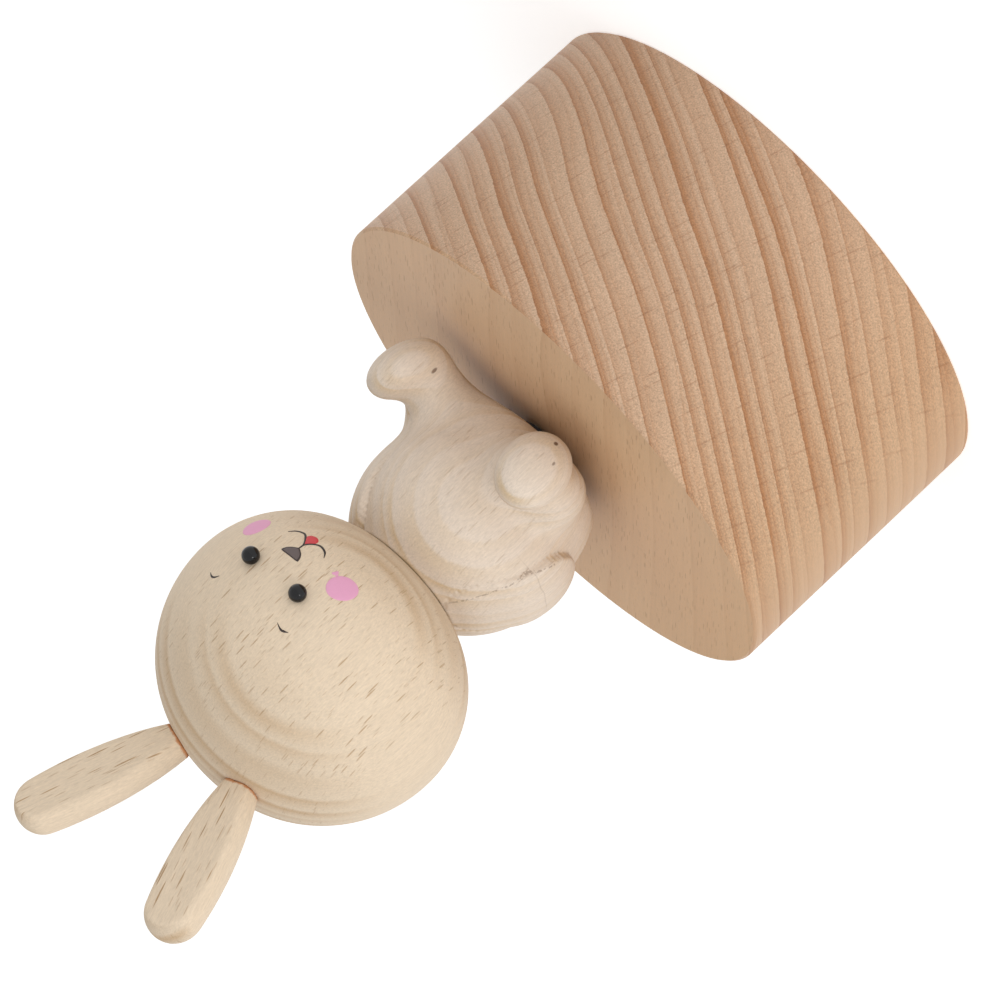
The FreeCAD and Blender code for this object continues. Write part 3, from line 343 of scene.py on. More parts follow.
# Materials
class Net:
    """Builds the nodes of one material or of the room, with a short call for each node."""

    def __init__(self, owner):
        """Starts with the nodes that Blender gives to a new material or world."""
        owner.use_nodes = True
        self.material = owner
        self.tree = owner.node_tree
        self.shader = self.tree.nodes.get("Principled BSDF")

    def add(self, kind, **settings):
        made = self.tree.nodes.new(kind)
        for key, value in settings.items():
            setattr(made, key, value)
        return made

    def feed(self, socket, value):
        """Links a socket to an input, or writes the input's own value."""
        if isinstance(value, bpy.types.NodeSocket):
            self.tree.links.new(value, socket)
        else:
            socket.default_value = value

    def math(self, operation, *values, clamp=False):
        made = self.add("ShaderNodeMath", operation=operation, use_clamp=clamp)
        for socket, value in zip(made.inputs, values):
            self.feed(socket, value)
        return made.outputs[0]

    def vector(self, operation, *values, scale=None):
        made = self.add("ShaderNodeVectorMath", operation=operation)
        for socket, value in zip(made.inputs, values):
            self.feed(socket, value)
        if scale is not None:
            self.feed(made.inputs["Scale"], scale)
        return made.outputs["Value" if operation in ("DOT_PRODUCT", "LENGTH", "DISTANCE") else "Vector"]

    def noise(self, place, scale=1.0, detail=2.0, roughness=0.5, shift=0.0):
        made = self.add("ShaderNodeTexNoise")
        if shift:
            place = self.vector("ADD", place, (shift, shift, shift))
        self.feed(made.inputs["Vector"], place)
        self.feed(made.inputs["Scale"], scale)
        self.feed(made.inputs["Detail"], detail)
        self.feed(made.inputs["Roughness"], roughness)
        return made.outputs[0]

    def cells(self, place, dimensions="3D"):
        made = self.add("ShaderNodeTexVoronoi", voronoi_dimensions=dimensions)
        self.feed(made.inputs["Vector"], place)
        self.feed(made.inputs["Scale"], 1.0)
        return made.outputs["Distance"], made.outputs["Color"]

    def spread(self, value, low, high):
        """Soft step from 0 at one value to 1 at another."""
        made = self.add("ShaderNodeMapRange", interpolation_type="SMOOTHSTEP")
        for socket, number in zip(made.inputs, (value, low, high)):
            self.feed(socket, number)
        return made.outputs[0]

    def mix(self, share, a, b, blend="MIX"):
        made = self.add("ShaderNodeMix", data_type="RGBA", blend_type=blend)
        self.feed(made.inputs[0], share)
        self.feed(made.inputs[6], a if isinstance(a, bpy.types.NodeSocket) else (*a, 1.0))
        self.feed(made.inputs[7], b if isinstance(b, bpy.types.NodeSocket) else (*b, 1.0))
        return made.outputs[2]

    def seen_directly(self):
        """1 for rays of the camera, of reflections and of clear materials, and 0 for the light itself."""
        path = self.add("ShaderNodeLightPath").outputs
        return self.math("MAXIMUM", path["Is Camera Ray"],
                         self.math("MAXIMUM", path["Is Glossy Ray"], path["Is Transmission Ray"]))

    def place(self):
        """Place on the object in millimetres, which turns with it."""
        coordinates = self.add("ShaderNodeTexCoord")
        return self.vector("SCALE", coordinates.outputs["Object"], scale=1 / MM)

    def facing(self, direction):
        """How squarely the surface faces a direction of the object, 0 to 1."""
        coordinates = self.add("ShaderNodeTexCoord")
        return self.math("ABSOLUTE", self.vector("DOT_PRODUCT", coordinates.outputs["Normal"], direction))

    def bump(self, height, deep):
        """Bump from a height of 0 to 1, deep millimetres."""
        made = self.add("ShaderNodeBump")
        made.inputs["Strength"].default_value = 1.0
        made.inputs["Distance"].default_value = deep * MM
        self.feed(made.inputs["Height"], height)
        self.feed(self.shader.inputs["Normal"], made.outputs[0])

    def over_base(self, share, colour):
        """Lays a colour over the base colour made so far."""
        socket = self.shader.inputs["Base Color"]
        self.feed(socket, self.mix(share, socket.links[0].from_socket, colour))

    def tint_base(self, share, first, last):
        """Multiplies the base colour made so far by a colour that goes from one to another."""
        socket = self.shader.inputs["Base Color"]
        tint = self.mix(share, first, last)
        self.feed(socket, self.mix(1.0, socket.links[0].from_socket, tint, "MULTIPLY"))

    def set(self, **values):
        """Feeds the shader's inputs, each named with underscores for spaces."""
        for key, value in values.items():
            name = key.replace("_", " ")
            if isinstance(value, tuple):
                value = (*value, 1.0)
            self.feed(self.shader.inputs[name], value)


def material_net(name):
    """Nodes of a new material."""
    return Net(bpy.data.materials.new(name))


def unit(v):
    v = np.array(v, float)
    return v / np.linalg.norm(v)


def srgb(*channels):
    """Linear colour of an 8-bit colour."""
    return tuple(((c / 255 + 0.055) / 1.055) ** 2.4 if c > 10 else c / 255 / 12.92 for c in channels)


class Grain:
    """Places and directions in a solid piece of wood, as nodes of its material."""

    def __init__(self, net, fibre, rings, shift):
        self.net = net
        self.fibre = unit(fibre)
        self.rings = unit(np.array(rings, float) - self.fibre * np.dot(rings, self.fibre))
        self.across = np.cross(self.fibre, self.rings)
        self.place = net.place()
        self.side = self.toward(self.across)
        self.out = self.toward(self.rings)
        self.along = net.math("ADD", self.toward(self.fibre), shift)

    def toward(self, direction):
        """Distance of a place along a direction."""
        return self.net.vector("DOT_PRODUCT", self.place, tuple(direction))

    def facing(self, direction, low, high):
        """Soft step between two values of how squarely the surface faces a direction."""
        return self.net.spread(self.net.facing(tuple(direction)), low, high)

    def at(self, long, wide, tall, slant=0.0):
        """Place in the wood's own directions, in units of a grain of these sizes. A slant breaks up rows."""
        net = self.net
        lengthwise = net.math("MULTIPLY_ADD", self.side, slant, self.along)
        made = net.add("ShaderNodeCombineXYZ")
        for socket, value, size in zip(made.inputs, (lengthwise, self.side, self.out), (long, wide, tall)):
            net.feed(socket, net.math("DIVIDE", value, size))
        return made.outputs[0]


def growth_rings(grain, shown_level, patchy, step, wave, fade, fine_rings):
    """Darkness of each ring's late wood, and of the broken thin line at its edge."""
    net = grain.net
    drift = net.noise(grain.at(*DRIFT_GRAIN), detail=1, shift=3.1)
    turn = net.math("MULTIPLY_ADD", drift, DRIFT_RINGS, net.math("DIVIDE", grain.out, step))
    long, wide, steps = UNEVEN_GRAIN
    uneven = net.noise(grain.at(long, wide, step * steps), detail=1, shift=7.7)
    turn = net.math("MULTIPLY_ADD", uneven, UNEVEN_RINGS, turn)
    ripple = net.noise(grain.at(*RIPPLE_GRAIN), detail=4, roughness=0.7, shift=1.3)
    turn = net.math("MULTIPLY_ADD", ripple, wave * 2, turn)
    phase = net.math("FRACT", turn)
    number = net.add("ShaderNodeTexWhiteNoise", noise_dimensions="1D")
    net.feed(number.inputs["W"], net.math("FLOOR", turn))
    strength = net.math("MULTIPLY_ADD", number.outputs[0], RING_CHANGE, RING_LEAST)
    shown = net.math("MULTIPLY", strength, shown_level)
    start = net.spread(phase, 1.0, fade)
    dark = net.math("MULTIPLY", net.math("POWER", phase, LATE_CURVE), start)
    if fine_rings:
        fine_turn = net.math("MULTIPLY_ADD", uneven, FINE_SHIFT, net.math("MULTIPLY", turn, FINE_RATE))
        fine = net.math("POWER", net.math("FRACT", fine_turn), FINE_CURVE)
        dark = net.math("MULTIPLY_ADD", fine, fine_rings, dark)
    dark = net.math("MULTIPLY", dark, shown, clamp=True)
    edge = net.math("MULTIPLY", net.spread(phase, *LINE_RANGE), start)
    broken = net.math("MULTIPLY", shown, net.spread(patchy, *LINE_PATCHES))
    return dark, net.math("MULTIPLY", edge, broken, clamp=True)


def flecks(grain, end, long, wide, deep, share):
    """Thin dark flecks along the fibres, in two sizes. They fade on the end grain and where they lie flat."""
    net = grain.net
    marks = []
    small = (long * SMALL_LONG, wide * SMALL_WIDE, SMALL_SHIFT)
    for fleck_long, fleck_wide, move in ((long, wide, 0.0), small):
        place = net.vector("ADD", grain.at(fleck_long, fleck_wide, deep, FLECK_SLANT), (move, move, move))
        near, random = net.cells(place)
        shades = net.add("ShaderNodeSeparateColor")
        net.feed(shades.inputs[0], random)
        present = net.spread(shades.outputs[0], share, share + FLECK_FADE_IN)
        mark = net.math("MULTIPLY", net.spread(near, *FLECK_EDGE), present)
        marks.append(net.math("MULTIPLY", mark, net.math("MULTIPLY_ADD", end, -FLECK_END_FADE, 1.0)))
    mark = net.math("MULTIPLY_ADD", marks[1], SMALL_FLECKS, marks[0], clamp=True)
    return net.math("MULTIPLY", mark, grain.facing(grain.across, *FLECK_FACING))


def wood_rays(grain, end, patchy):
    """Short fine rays that cross the rings on the end grain."""
    net = grain.net
    steep = grain.toward(grain.across * RAY_SHARES)
    place = net.add("ShaderNodeCombineXYZ")
    net.feed(place.inputs[0], net.math("DIVIDE", steep, RAY_WIDE))
    upward = net.math("DIVIDE", grain.out, RAY_TALL)
    net.feed(place.inputs[1], net.math("MULTIPLY_ADD", steep, RAY_LEAN, upward))
    near = net.cells(place.outputs[0], "2D")[0]
    ray = net.math("MULTIPLY", net.spread(near, *RAY_EDGE), net.spread(patchy, *RAY_PATCHES))
    return net.math("MULTIPLY", ray, end)


def wood(name, fibre, rings, ring_step, early, late, line, fleck, shift=0.0, roughness=0.55,
         side_rings=0.35, end_from=0.25, end_to=0.9, end_dark=0.86, quarter=0.0, flat_tint=WHITE,
         wave=0.05, fade=0.97, line_dark=0.6, fine_rings=0.0, rays=0.0,
         fleck_long=5.0, fleck_wide=0.34, fleck_deep=2.6, fleck_share=0.5, fleck_dark=0.5,
         blotch=0.04, streaks=0.12, speckle=0.2, end_speckle=0.2):
    """Solid beech: growth rings across one direction, fibres and flecks along another. Its end grain shows
    the rings most. Faces flat to the rings can have a tint, and upright ones can show the rings too."""
    net = material_net(name)
    grain = Grain(net, fibre, rings, shift)
    end = grain.facing(grain.fibre, end_from, end_to)
    flat = grain.facing(grain.rings, *FLAT_RANGE)
    level = net.math("MAXIMUM", end, net.math("MULTIPLY_ADD", flat, -quarter, quarter))
    level = net.math("MULTIPLY_ADD", level, 1 - side_rings, side_rings)
    patchy = net.noise(grain.at(*PATCH_GRAIN), detail=2, shift=6.4)
    dark, edge = growth_rings(grain, level, patchy, ring_step, wave, fade, fine_rings)
    colour = net.mix(dark, early, late)
    colour = net.mix(net.math("MULTIPLY", edge, line_dark), colour, line)
    mark = flecks(grain, end, fleck_long, fleck_wide, fleck_deep, fleck_share)
    colour = net.mix(net.math("MULTIPLY", mark, fleck_dark), colour, fleck)
    if rays:
        colour = net.mix(net.math("MULTIPLY", wood_rays(grain, end, patchy), rays), colour, line)
    colour = net.mix(1.0, colour, net.mix(flat, WHITE, flat_tint), "MULTIPLY")

    tone = net.noise(grain.at(*TONE_GRAIN), detail=2, shift=5.5)
    streak = net.noise(grain.at(*STREAK_GRAIN), detail=2, shift=2.2)
    speck = net.noise(grain.at(*SPECK_GRAIN), detail=2, roughness=0.7, shift=9.1)
    shaken = net.math("MULTIPLY_ADD", end, end_speckle - speckle, speckle)
    value = net.math("MULTIPLY_ADD", tone, blotch * 2, 1 - blotch)
    value = net.math("ADD", value, net.math("MULTIPLY_ADD", streak, streaks, -streaks / 2))
    value = net.math("ADD", value, net.math("MULTIPLY", net.math("SUBTRACT", speck, 0.5), shaken))
    value = net.math("MULTIPLY", value, net.math("MULTIPLY_ADD", end, end_dark - 1, 1.0))
    shade = net.add("ShaderNodeCombineColor")
    for socket in shade.inputs[:3]:
        net.feed(socket, value)
    colour = net.mix(1.0, colour, shade.outputs[0], "MULTIPLY")
    raised = net.math("MULTIPLY_ADD", streak, 0.5, net.math("MULTIPLY", speck, 0.5))
    net.bump(net.math("SUBTRACT", raised, mark), WOOD_BUMP)
    net.set(Base_Color=colour, Roughness=net.math("MULTIPLY_ADD", speck, 0.2, roughness - 0.1),
            Specular_IOR_Level=0.3)
    return net


def plain(name, colour, roughness, metallic=0.0, grain=0.04, size=0.6, stretch=(1, 1, 1), deep=0.005,
          specular=0.5):
    """Metal, plastic or paint with a fine uneven surface."""
    net = material_net(name)
    place = net.vector("DIVIDE", net.place(), tuple(size * s for s in stretch))
    fine = net.noise(place, detail=3, roughness=0.6)
    wide = net.noise(place, scale=0.12, detail=2, shift=4.0)
    darker = tuple(c * (1 - 2 * grain) for c in colour)
    both = net.math("MULTIPLY_ADD", fine, 0.5, net.math("MULTIPLY", wide, 0.5))
    net.set(Base_Color=net.mix(both, darker, colour),
            Roughness=net.math("MULTIPLY_ADD", fine, 0.16, roughness - 0.08),
            Metallic=metallic, Specular_IOR_Level=specular)
    net.bump(fine, deep)
    return net.material


BASE_FIBRE = (math.cos(math.radians(BASE_FIBRE_TURN)), math.sin(math.radians(BASE_FIBRE_TURN)), 0.0)
CREAM = srgb(231, 211, 185)
CREAM_LATE = srgb(196, 158, 110)
CREAM_LINE = srgb(196, 160, 116)
CREAM_FLECK = srgb(172, 132, 86)
# Dark brown of the pores and the seam, also used for the painted shade of the chips along the right arm
PORE_AND_SHADE = srgb(104, 72, 50)
GLUE = srgb(198, 128, 72)


def cream_wood(name, fibre, rings, ring_step=3.4, **changes):
    """Pale beech of the rabbit."""
    values = dict(early=CREAM, late=CREAM_LATE, line=CREAM_LINE, fleck=CREAM_FLECK, side_rings=0.06,
                  end_dark=0.88, end_from=0.30, fade=0.60, wave=0.12, line_dark=0.0, speckle=0.35,
                  end_speckle=0.4, streaks=0.2, fleck_long=4.0, fleck_dark=0.6, roughness=0.62)
    values.update(changes)
    return wood(name, fibre, rings, ring_step, **values)


base_net = wood("base_wood", BASE_FIBRE, BASE_RINGS, BASE_RING_STEP, early=srgb(213, 178, 147),
                late=srgb(183, 131, 91), line=srgb(152, 101, 66), fleck=srgb(150, 100, 62), roughness=0.5,
                side_rings=0.14, end_from=0.05, end_to=0.55, end_dark=0.96, quarter=0.6,
                flat_tint=(1.02, 0.985, 0.88), wave=0.07, line_dark=0.45, fine_rings=0.3, rays=0.35,
                fleck_long=4.5, fleck_wide=0.26, fleck_deep=0.7, fleck_dark=0.35, blotch=0.06,
                end_speckle=1.2)
# Painted light: the base's colour is tinted warm on the camera's left and cool on its right
light_tint_place = base_net.vector("DOT_PRODUCT", base_net.place(), LIGHT_TINT_WAY)
base_net.tint_base(base_net.spread(light_tint_place, LIGHT_TINT_FROM, LIGHT_TINT_TO), WARM_LIGHT_TINT, COOL_LIGHT_TINT)
board_net = wood("board_wood", (1, 0, 0), BOARD_RINGS, BOARD_RING_STEP, early=srgb(228, 203, 165),
                 late=srgb(208, 174, 130), line=srgb(184, 146, 100), fleck=srgb(160, 120, 80), side_rings=0.5)
figure_net = cream_wood("figure_wood", (0, 0, 1), FIGURE_RINGS)
materials = {"base_wood": base_net.material, "board_wood": board_net.material,
             "figure_wood": figure_net.material}
METALS = {
    "brass": ((0.78, 0.58, 0.27), 0.30, {"stretch": (6, 1, 1)}),
    "cast_plate": ((0.60, 0.60, 0.59), 0.48, {"size": 0.3, "deep": 0.02}),
    "comb_steel": ((0.60, 0.60, 0.61), 0.32, {"stretch": (1, 8, 1)}),
    "spring_steel": ((0.16, 0.19, 0.28), 0.3, {"stretch": (1, 1, 8)}),
    "shaft_steel": ((0.55, 0.55, 0.56), 0.28, {"size": 0.25}),
    "barrel_steel": ((0.63, 0.61, 0.57), 0.3, {"stretch": (4, 4, 1)}),
    "key_steel": ((0.72, 0.71, 0.69), 0.2, {"size": 1.2}),
    "screw_steel": ((0.62, 0.58, 0.48), 0.35, {"size": 0.3}),
    "lead": ((0.20, 0.20, 0.22), 0.6, {"metallic": 0.8, "size": 0.4, "deep": 0.02}),
}
PLASTICS = {
    "black_plastic": ((0.012, 0.012, 0.013), 0.5, {"size": 0.3, "deep": 0.01}),
    "eye_black": ((0.005, 0.005, 0.006), 0.12, {"grain": 0.1, "deep": 0.002, "specular": 0.35}),
    "fan_plastic": ((0.80, 0.79, 0.73), 0.45, {"size": 0.5}),
}
for name, (colour, roughness, changes) in METALS.items():
    materials[name] = plain(name, colour, roughness, **{"metallic": 1.0, **changes})
for name, (colour, roughness, changes) in PLASTICS.items():
    materials[name] = plain(name, colour, roughness, **changes)


def near_point(net, place, point, size):
    """1 near a point of the object, with a long soft shape up and down."""
    away = net.vector("SUBTRACT", place, point)
    away = net.vector("DIVIDE", away, (size, size, size * PORE_TALL))
    return net.spread(net.vector("LENGTH", away), *PORE_EDGE)


def glue_line(net):
    """Orange glue where an ear meets the head."""
    place = net.place()
    above = net.math("SUBTRACT", net.vector("DISTANCE", place, (0.0, 0.0, crown_z)), crown_r)
    ragged = net.noise(place, scale=1.6, detail=2)
    share = net.spread(net.math("MULTIPLY_ADD", ragged, -GLUE_RAGGED, above), *GLUE_EDGE)
    net.over_base(net.math("MULTIPLY", share, GLUE_DARK), GLUE)


def body_marks(net):
    """Small pores on the feet, a faint seam across the right arm, and painted shade of chips along its front
    line.
    """
    place = net.place()
    for point, size, dark in SOLE_MARKS:
        net.over_base(net.math("MULTIPLY", near_point(net, place, point, size), dark), PORE_AND_SHADE)
    split = net.add("ShaderNodeSeparateXYZ")
    net.feed(split.inputs[0], place)
    x, y, z = split.outputs
    wavy = net.noise(place, scale=0.25, detail=1)
    off = net.math("ABSOLUTE", net.math("MULTIPLY_ADD", wavy, SEAM_WAVE, net.math("SUBTRACT", z, SEAM_Z)))
    seam = net.math("MULTIPLY", net.spread(off, *SEAM_EDGE), net.spread(x, SEAM_X + 1, SEAM_X - 1))
    net.over_base(net.math("MULTIPLY", seam, SEAM_DARK), PORE_AND_SHADE)
    # Painted shade: dark chips in the crease along the right arm's front line
    below = net.math("MAXIMUM", net.math("SUBTRACT", ARM_BEND_Z, z), 0.0)
    front = net.math("MULTIPLY_ADD", below, ARM_BEND, ARM_LINE_Y)
    broken = net.noise(place, scale=2.2, detail=1, shift=3.0)
    off = net.math("ABSOLUTE", net.math("SUBTRACT", y, front))
    chip_shade = net.math("MULTIPLY", net.spread(off, *CHIP_SHADE_EDGE), net.spread(broken, *CHIP_SHADE_BROKEN))
    chip_shade = net.math("MULTIPLY", chip_shade, net.spread(x, ARM_LINE_X + 1, ARM_LINE_X - 1))
    chip_shade = net.math("MULTIPLY", chip_shade, net.spread(z, ARM_END_Z, ARM_END_Z + ARM_END_SOFT))
    net.over_base(net.math("MULTIPLY", chip_shade, CHIP_SHADE_DARK), PORE_AND_SHADE)


lean = math.radians(EAR_LEAN)
ear_woods = {}
for side, name in SIDES:
    net = cream_wood("ear_wood_" + name, (side * math.sin(lean), 0, math.cos(lean)), EAR_RINGS,
                     shift=EAR_SHIFTS[name], fleck_long=7.0, fleck_wide=0.42, fleck_share=0.45,
                     fleck_dark=0.8)
    glue_line(net)
    ear_woods[side] = net.material
body_net = cream_wood("body_wood", (0, 0, 1), BODY_RINGS, ring_step=2.0, shift=BODY_SHIFT,
                      fleck_dark=0.2, early=srgb(231, 215, 198), late=srgb(216, 186, 140), side_rings=0.26,
                      fade=0.8)
body_marks(body_net)
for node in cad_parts.values():
    node.material_slots[0].material = materials[node.material_slots[0].material.name]


# Shapes as fields: the distance of points from a form, negative inside it
def facing_point(turn, out, height):
    """Point at a turn from the rabbit's front, a distance out from its axis, a height above its underside."""
    a = math.radians(turn)
    return np.array([math.sin(a) * out, -math.cos(a) * out, body_low_z + height])


def ball_taper(points, start, start_r, end, end_r):
    """Distance from two balls and the taper that joins them."""
    line = end - start
    long2 = line @ line
    narrow = start_r - end_r
    flat2 = long2 - narrow * narrow
    rel = points - start
    y = rel @ line
    z = y - long2
    x2 = ((rel * long2 - y[:, None] * line) ** 2).sum(1)
    y2 = y * y * long2
    z2 = z * z * long2
    k = math.copysign(narrow * narrow, narrow) * x2
    to_end = np.sqrt(x2 + z2) / long2 - end_r
    to_start = np.sqrt(x2 + y2) / long2 - start_r
    to_side = (np.sqrt(x2 * flat2 / long2) + y * narrow) / long2 - start_r
    near_start = np.where(np.sign(y) * flat2 * y2 < k, to_start, to_side)
    return np.where(np.sign(z) * flat2 * z2 > k, to_end, near_start)


def egg(rel, radii):
    """Distance from an egg-shaped form, nearly. Places are from its centre and along its own axes."""
    inner = np.linalg.norm(rel / radii, axis=1)
    outer = np.linalg.norm(rel / np.square(radii), axis=1)
    return inner * (inner - 1) / np.maximum(outer, 1e-6)


def melt(a, b, width):
    """Both forms, with the corner between them filled over a width."""
    share = np.clip(0.5 + 0.5 * (b - a) / width, 0, 1)
    return b * (1 - share) + a * share - width * share * (1 - share)


def trim(a, b, width):
    """What two forms share, with the edge rounded over a width."""
    return -melt(-a, -b, width)


def foot_axes(turn):
    """Directions of a foot: out, sideways and up along its lean."""
    a = math.radians(turn)
    tilt = math.radians(FOOT_LEAN)
    out = np.array([math.sin(a), -math.cos(a), 0.0])
    side = np.array([math.cos(a), math.sin(a), 0.0])
    up = np.array([0.0, 0.0, 1.0])
    return np.array([out * math.cos(tilt) - up * math.sin(tilt), side,
                     up * math.cos(tilt) + out * math.sin(tilt)])


def head_under(radius):
    """Height of the head's underside at a distance from its axis."""
    hit = head_tree.ray_cast(Vector((radius * MM, 0, body_low_z * MM)), Vector((0, 0, 1)))[0]
    return hit.z / MM


under_radii = np.linspace(dowel_high[0] + 0.5, DISH_R, DISH_STEPS)
under_heights = np.array([head_under(r) for r in under_radii])


class Arm:
    """An arm in low relief, cut from a dome that was turned with the body."""

    def __init__(self, turn, reach, dome_h, hand_h, tilt):
        self.turn = math.radians(turn)
        self.reach = reach
        self.dome_h = dome_h
        self.hand_h = hand_h
        self.tilt = math.radians(tilt)

    def outline(self, points):
        """Distance from the arm's outline on the dome: a round hand and shoulder, with a taper between."""
        radius = np.hypot(points[:, 0], points[:, 1])
        turn = np.arctan2(points[:, 0], -points[:, 1]) - self.turn
        side = radius * np.sin(turn)
        up = points[:, 2] - body_low_z - self.hand_h
        across = np.abs(side * math.cos(self.tilt) - up * math.sin(self.tilt))
        along = side * math.sin(self.tilt) + up * math.cos(self.tilt)
        slope = (HAND_R - SHOULDER_R) / ARM_LONG
        level = math.sqrt(1 - slope * slope)
        place = along * level - across * slope
        taper = across * level + along * slope - HAND_R
        hand = np.hypot(across, along) - HAND_R
        shoulder = np.hypot(across, along - ARM_LONG) - SHOULDER_R
        shape = np.where(place < 0, hand, np.where(place > level * ARM_LONG, shoulder, taper))
        return np.where(np.cos(turn) < 0, HAND_R, shape)

    def dome(self, points):
        """Distance from the dome, nearly."""
        rel = points - facing_point(0, 0, self.dome_h)
        tall = np.where(rel[:, 2] > 0, ARM_UP, ARM_DOWN)
        wide = np.full(len(points), self.reach)
        return egg(rel, np.stack([wide, wide, tall], 1))

    def field(self, points):
        return trim(self.dome(points), self.outline(points), ARM_EDGE)


ARMS = (Arm(turn=-107.0, reach=16.5, dome_h=13.0, hand_h=14.7, tilt=20.0),
        Arm(turn=56.0, reach=15.5, dome_h=16.2, hand_h=15.6, tilt=0.0))


def body_field(points):
    """The whole body: belly, legs, feet and arms."""
    radius = np.hypot(points[:, 0], points[:, 1])
    chest = facing_point(0, 0, CHEST_H)
    form = ball_taper(points, facing_point(0, 0, BELLY_H), BELLY_R, chest, CHEST_R)
    neck = ball_taper(points, chest, NECK_R, facing_point(0, 0, NECK_H), NECK_R * NEARLY)
    form = melt(form, neck, NECK_BLEND)
    for side in (-1, 1):
        turn = side * LEG_TURN
        lift = -side * FEET_UNEVEN
        leg = ball_taper(points, facing_point(turn, HIP_OUT, HIP_H), HIP_R,
                         facing_point(turn, ANKLE_OUT, ANKLE_H + lift), ANKLE_R)
        foot = egg((points - facing_point(turn, FOOT_OUT, FOOT_H + lift)) @ foot_axes(turn).T,
                   np.array([FOOT_DEEP, FOOT_WIDE, FOOT_TALL]))
        form = melt(form, melt(leg, foot, FOOT_BLEND), LEG_BLEND)
        heel = ball_taper(points, facing_point(side * HEEL_TURN, HEEL_OUT, HEEL_H), HEEL_R,
                          facing_point(side * HEEL_TURN, HEEL_OUT - HEEL_DEEP, HEEL_H), HEEL_R * NEARLY)
        form = melt(form, heel, HEEL_BLEND)
    for arm in ARMS:
        form = melt(form, arm.field(points), ARM_BLEND)
    heights = points[:, 2]
    chip_turn = heights / CHIP_STEP
    uneven = np.sin(chip_turn) + np.sin(chip_turn * CHIP_FINE + CHIP_DRIFT * np.sin(chip_turn * CHIP_SLOW))
    chip_r = CHIP_R + CHIP_CHANGE * uneven / 2
    for arm in ARMS:
        form = trim(form, chip_r - np.hypot(arm.outline(points), form), CHIP_R / 2)
    form = trim(form, body_low_z - heights, SOLE_ROUND)
    dish = heights - np.interp(radius, under_radii, under_heights) + GLUE_GAP
    form = np.maximum(form, dish)
    boss_r = BOSS_R + GLUE_GAP
    form = np.maximum(form, -np.maximum(radius - boss_r, heights - hub_top_z - GLUE_GAP))
    dowel_r = dowel_high[0] + GLUE_GAP
    return np.maximum(form, -np.maximum(radius - dowel_r, dowel_low[2] - GLUE_GAP - heights))


def net_of(field, low, high, cell):
    """Points and four-sided faces round the zero level of a field, one point in each cell that it crosses."""
    axes = [np.arange(a, b + cell, cell) for a, b in zip(low, high)]
    grid = np.stack(np.meshgrid(*axes, indexing="ij"), -1)
    inside = (field(grid.reshape(-1, 3)) < 0).reshape(grid.shape[:3])
    shape = tuple(n - 1 for n in inside.shape)
    count = np.zeros(shape, int)
    for i in (0, 1):
        for j in (0, 1):
            for k in (0, 1):
                count += inside[i:i + shape[0], j:j + shape[1], k:k + shape[2]]
    crossed = (count > 0) & (count < 8)
    number = np.full(shape, -1)
    number[crossed] = np.arange(crossed.sum())
    points = grid[:-1, :-1, :-1][crossed] + cell / 2
    faces = []
    for axis in range(3):
        here = np.moveaxis(inside, axis, 0)
        change = here[:-1] != here[1:]
        starts = np.argwhere(change[:, 1:-1, 1:-1])
        starts[:, 1:] += 1
        filled = here[:-1][tuple(starts.T)]
        cells = np.moveaxis(number, axis, 0)
        a, b, c = starts.T
        ring = np.stack([cells[a, b - 1, c - 1], cells[a, b, c - 1], cells[a, b, c], cells[a, b - 1, c]], 1)
        turned = filled if axis != 1 else ~filled
        ring[~turned] = ring[~turned][:, ::-1]
        faces.append(ring)
    return points, np.concatenate(faces)


def settle(points, field, cell):
    """Points moved onto the zero level of a field."""
    steps = np.eye(3) * SETTLE_REACH
    for _ in range(SETTLE_STEPS):
        value = field(points)
        slope = np.stack([field(points + d) - field(points - d) for d in steps], 1) / (2 * SETTLE_REACH)
        move = (value / np.maximum((slope ** 2).sum(1), LEAST_SLOPE))[:, None] * slope
        points = points - np.clip(move, -cell, cell)
    return points


def evened(points, faces, share):
    """Points moved part of the way to the middle of their neighbours."""
    total = np.zeros_like(points)
    count = np.zeros(len(points))
    for k in range(4):
        a, b = faces[:, k], faces[:, (k + 1) % 4]
        for one, two in ((a, b), (b, a)):
            np.add.at(total, one, points[two])
            np.add.at(count, one, 1)
    return points * (1 - share) + total / count[:, None] * share


def carved(field, low, high, cell):
    """Points and even faces of a closed form from its field."""
    points, faces = net_of(field, low, high, cell)
    for _ in range(EVEN_ROUNDS):
        points = settle(evened(points, faces, EVEN_SHARE), field, cell)
    return points, faces


coarse = 1
body_points, body_faces = carved(body_field, body_low - 1.0, body_high + 1.0, BODY_CELL * coarse)
body = make_mesh("carved_body", body_points, body_faces, body_net.material)
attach(body, "rabbit")
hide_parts("rabbit_body")


# Ears
def ear_frame(side):
    """Foot of an ear and its three directions as rows: across, thick and along."""
    lean = math.radians(EAR_LEAN) * side
    axes = np.array([[math.cos(lean), 0, -math.sin(lean)], [0, 1, 0], [math.sin(lean), 0, math.cos(lean)]])
    return np.array([side * EAR_OUT, EAR_BACK, ear_foot_z]), axes


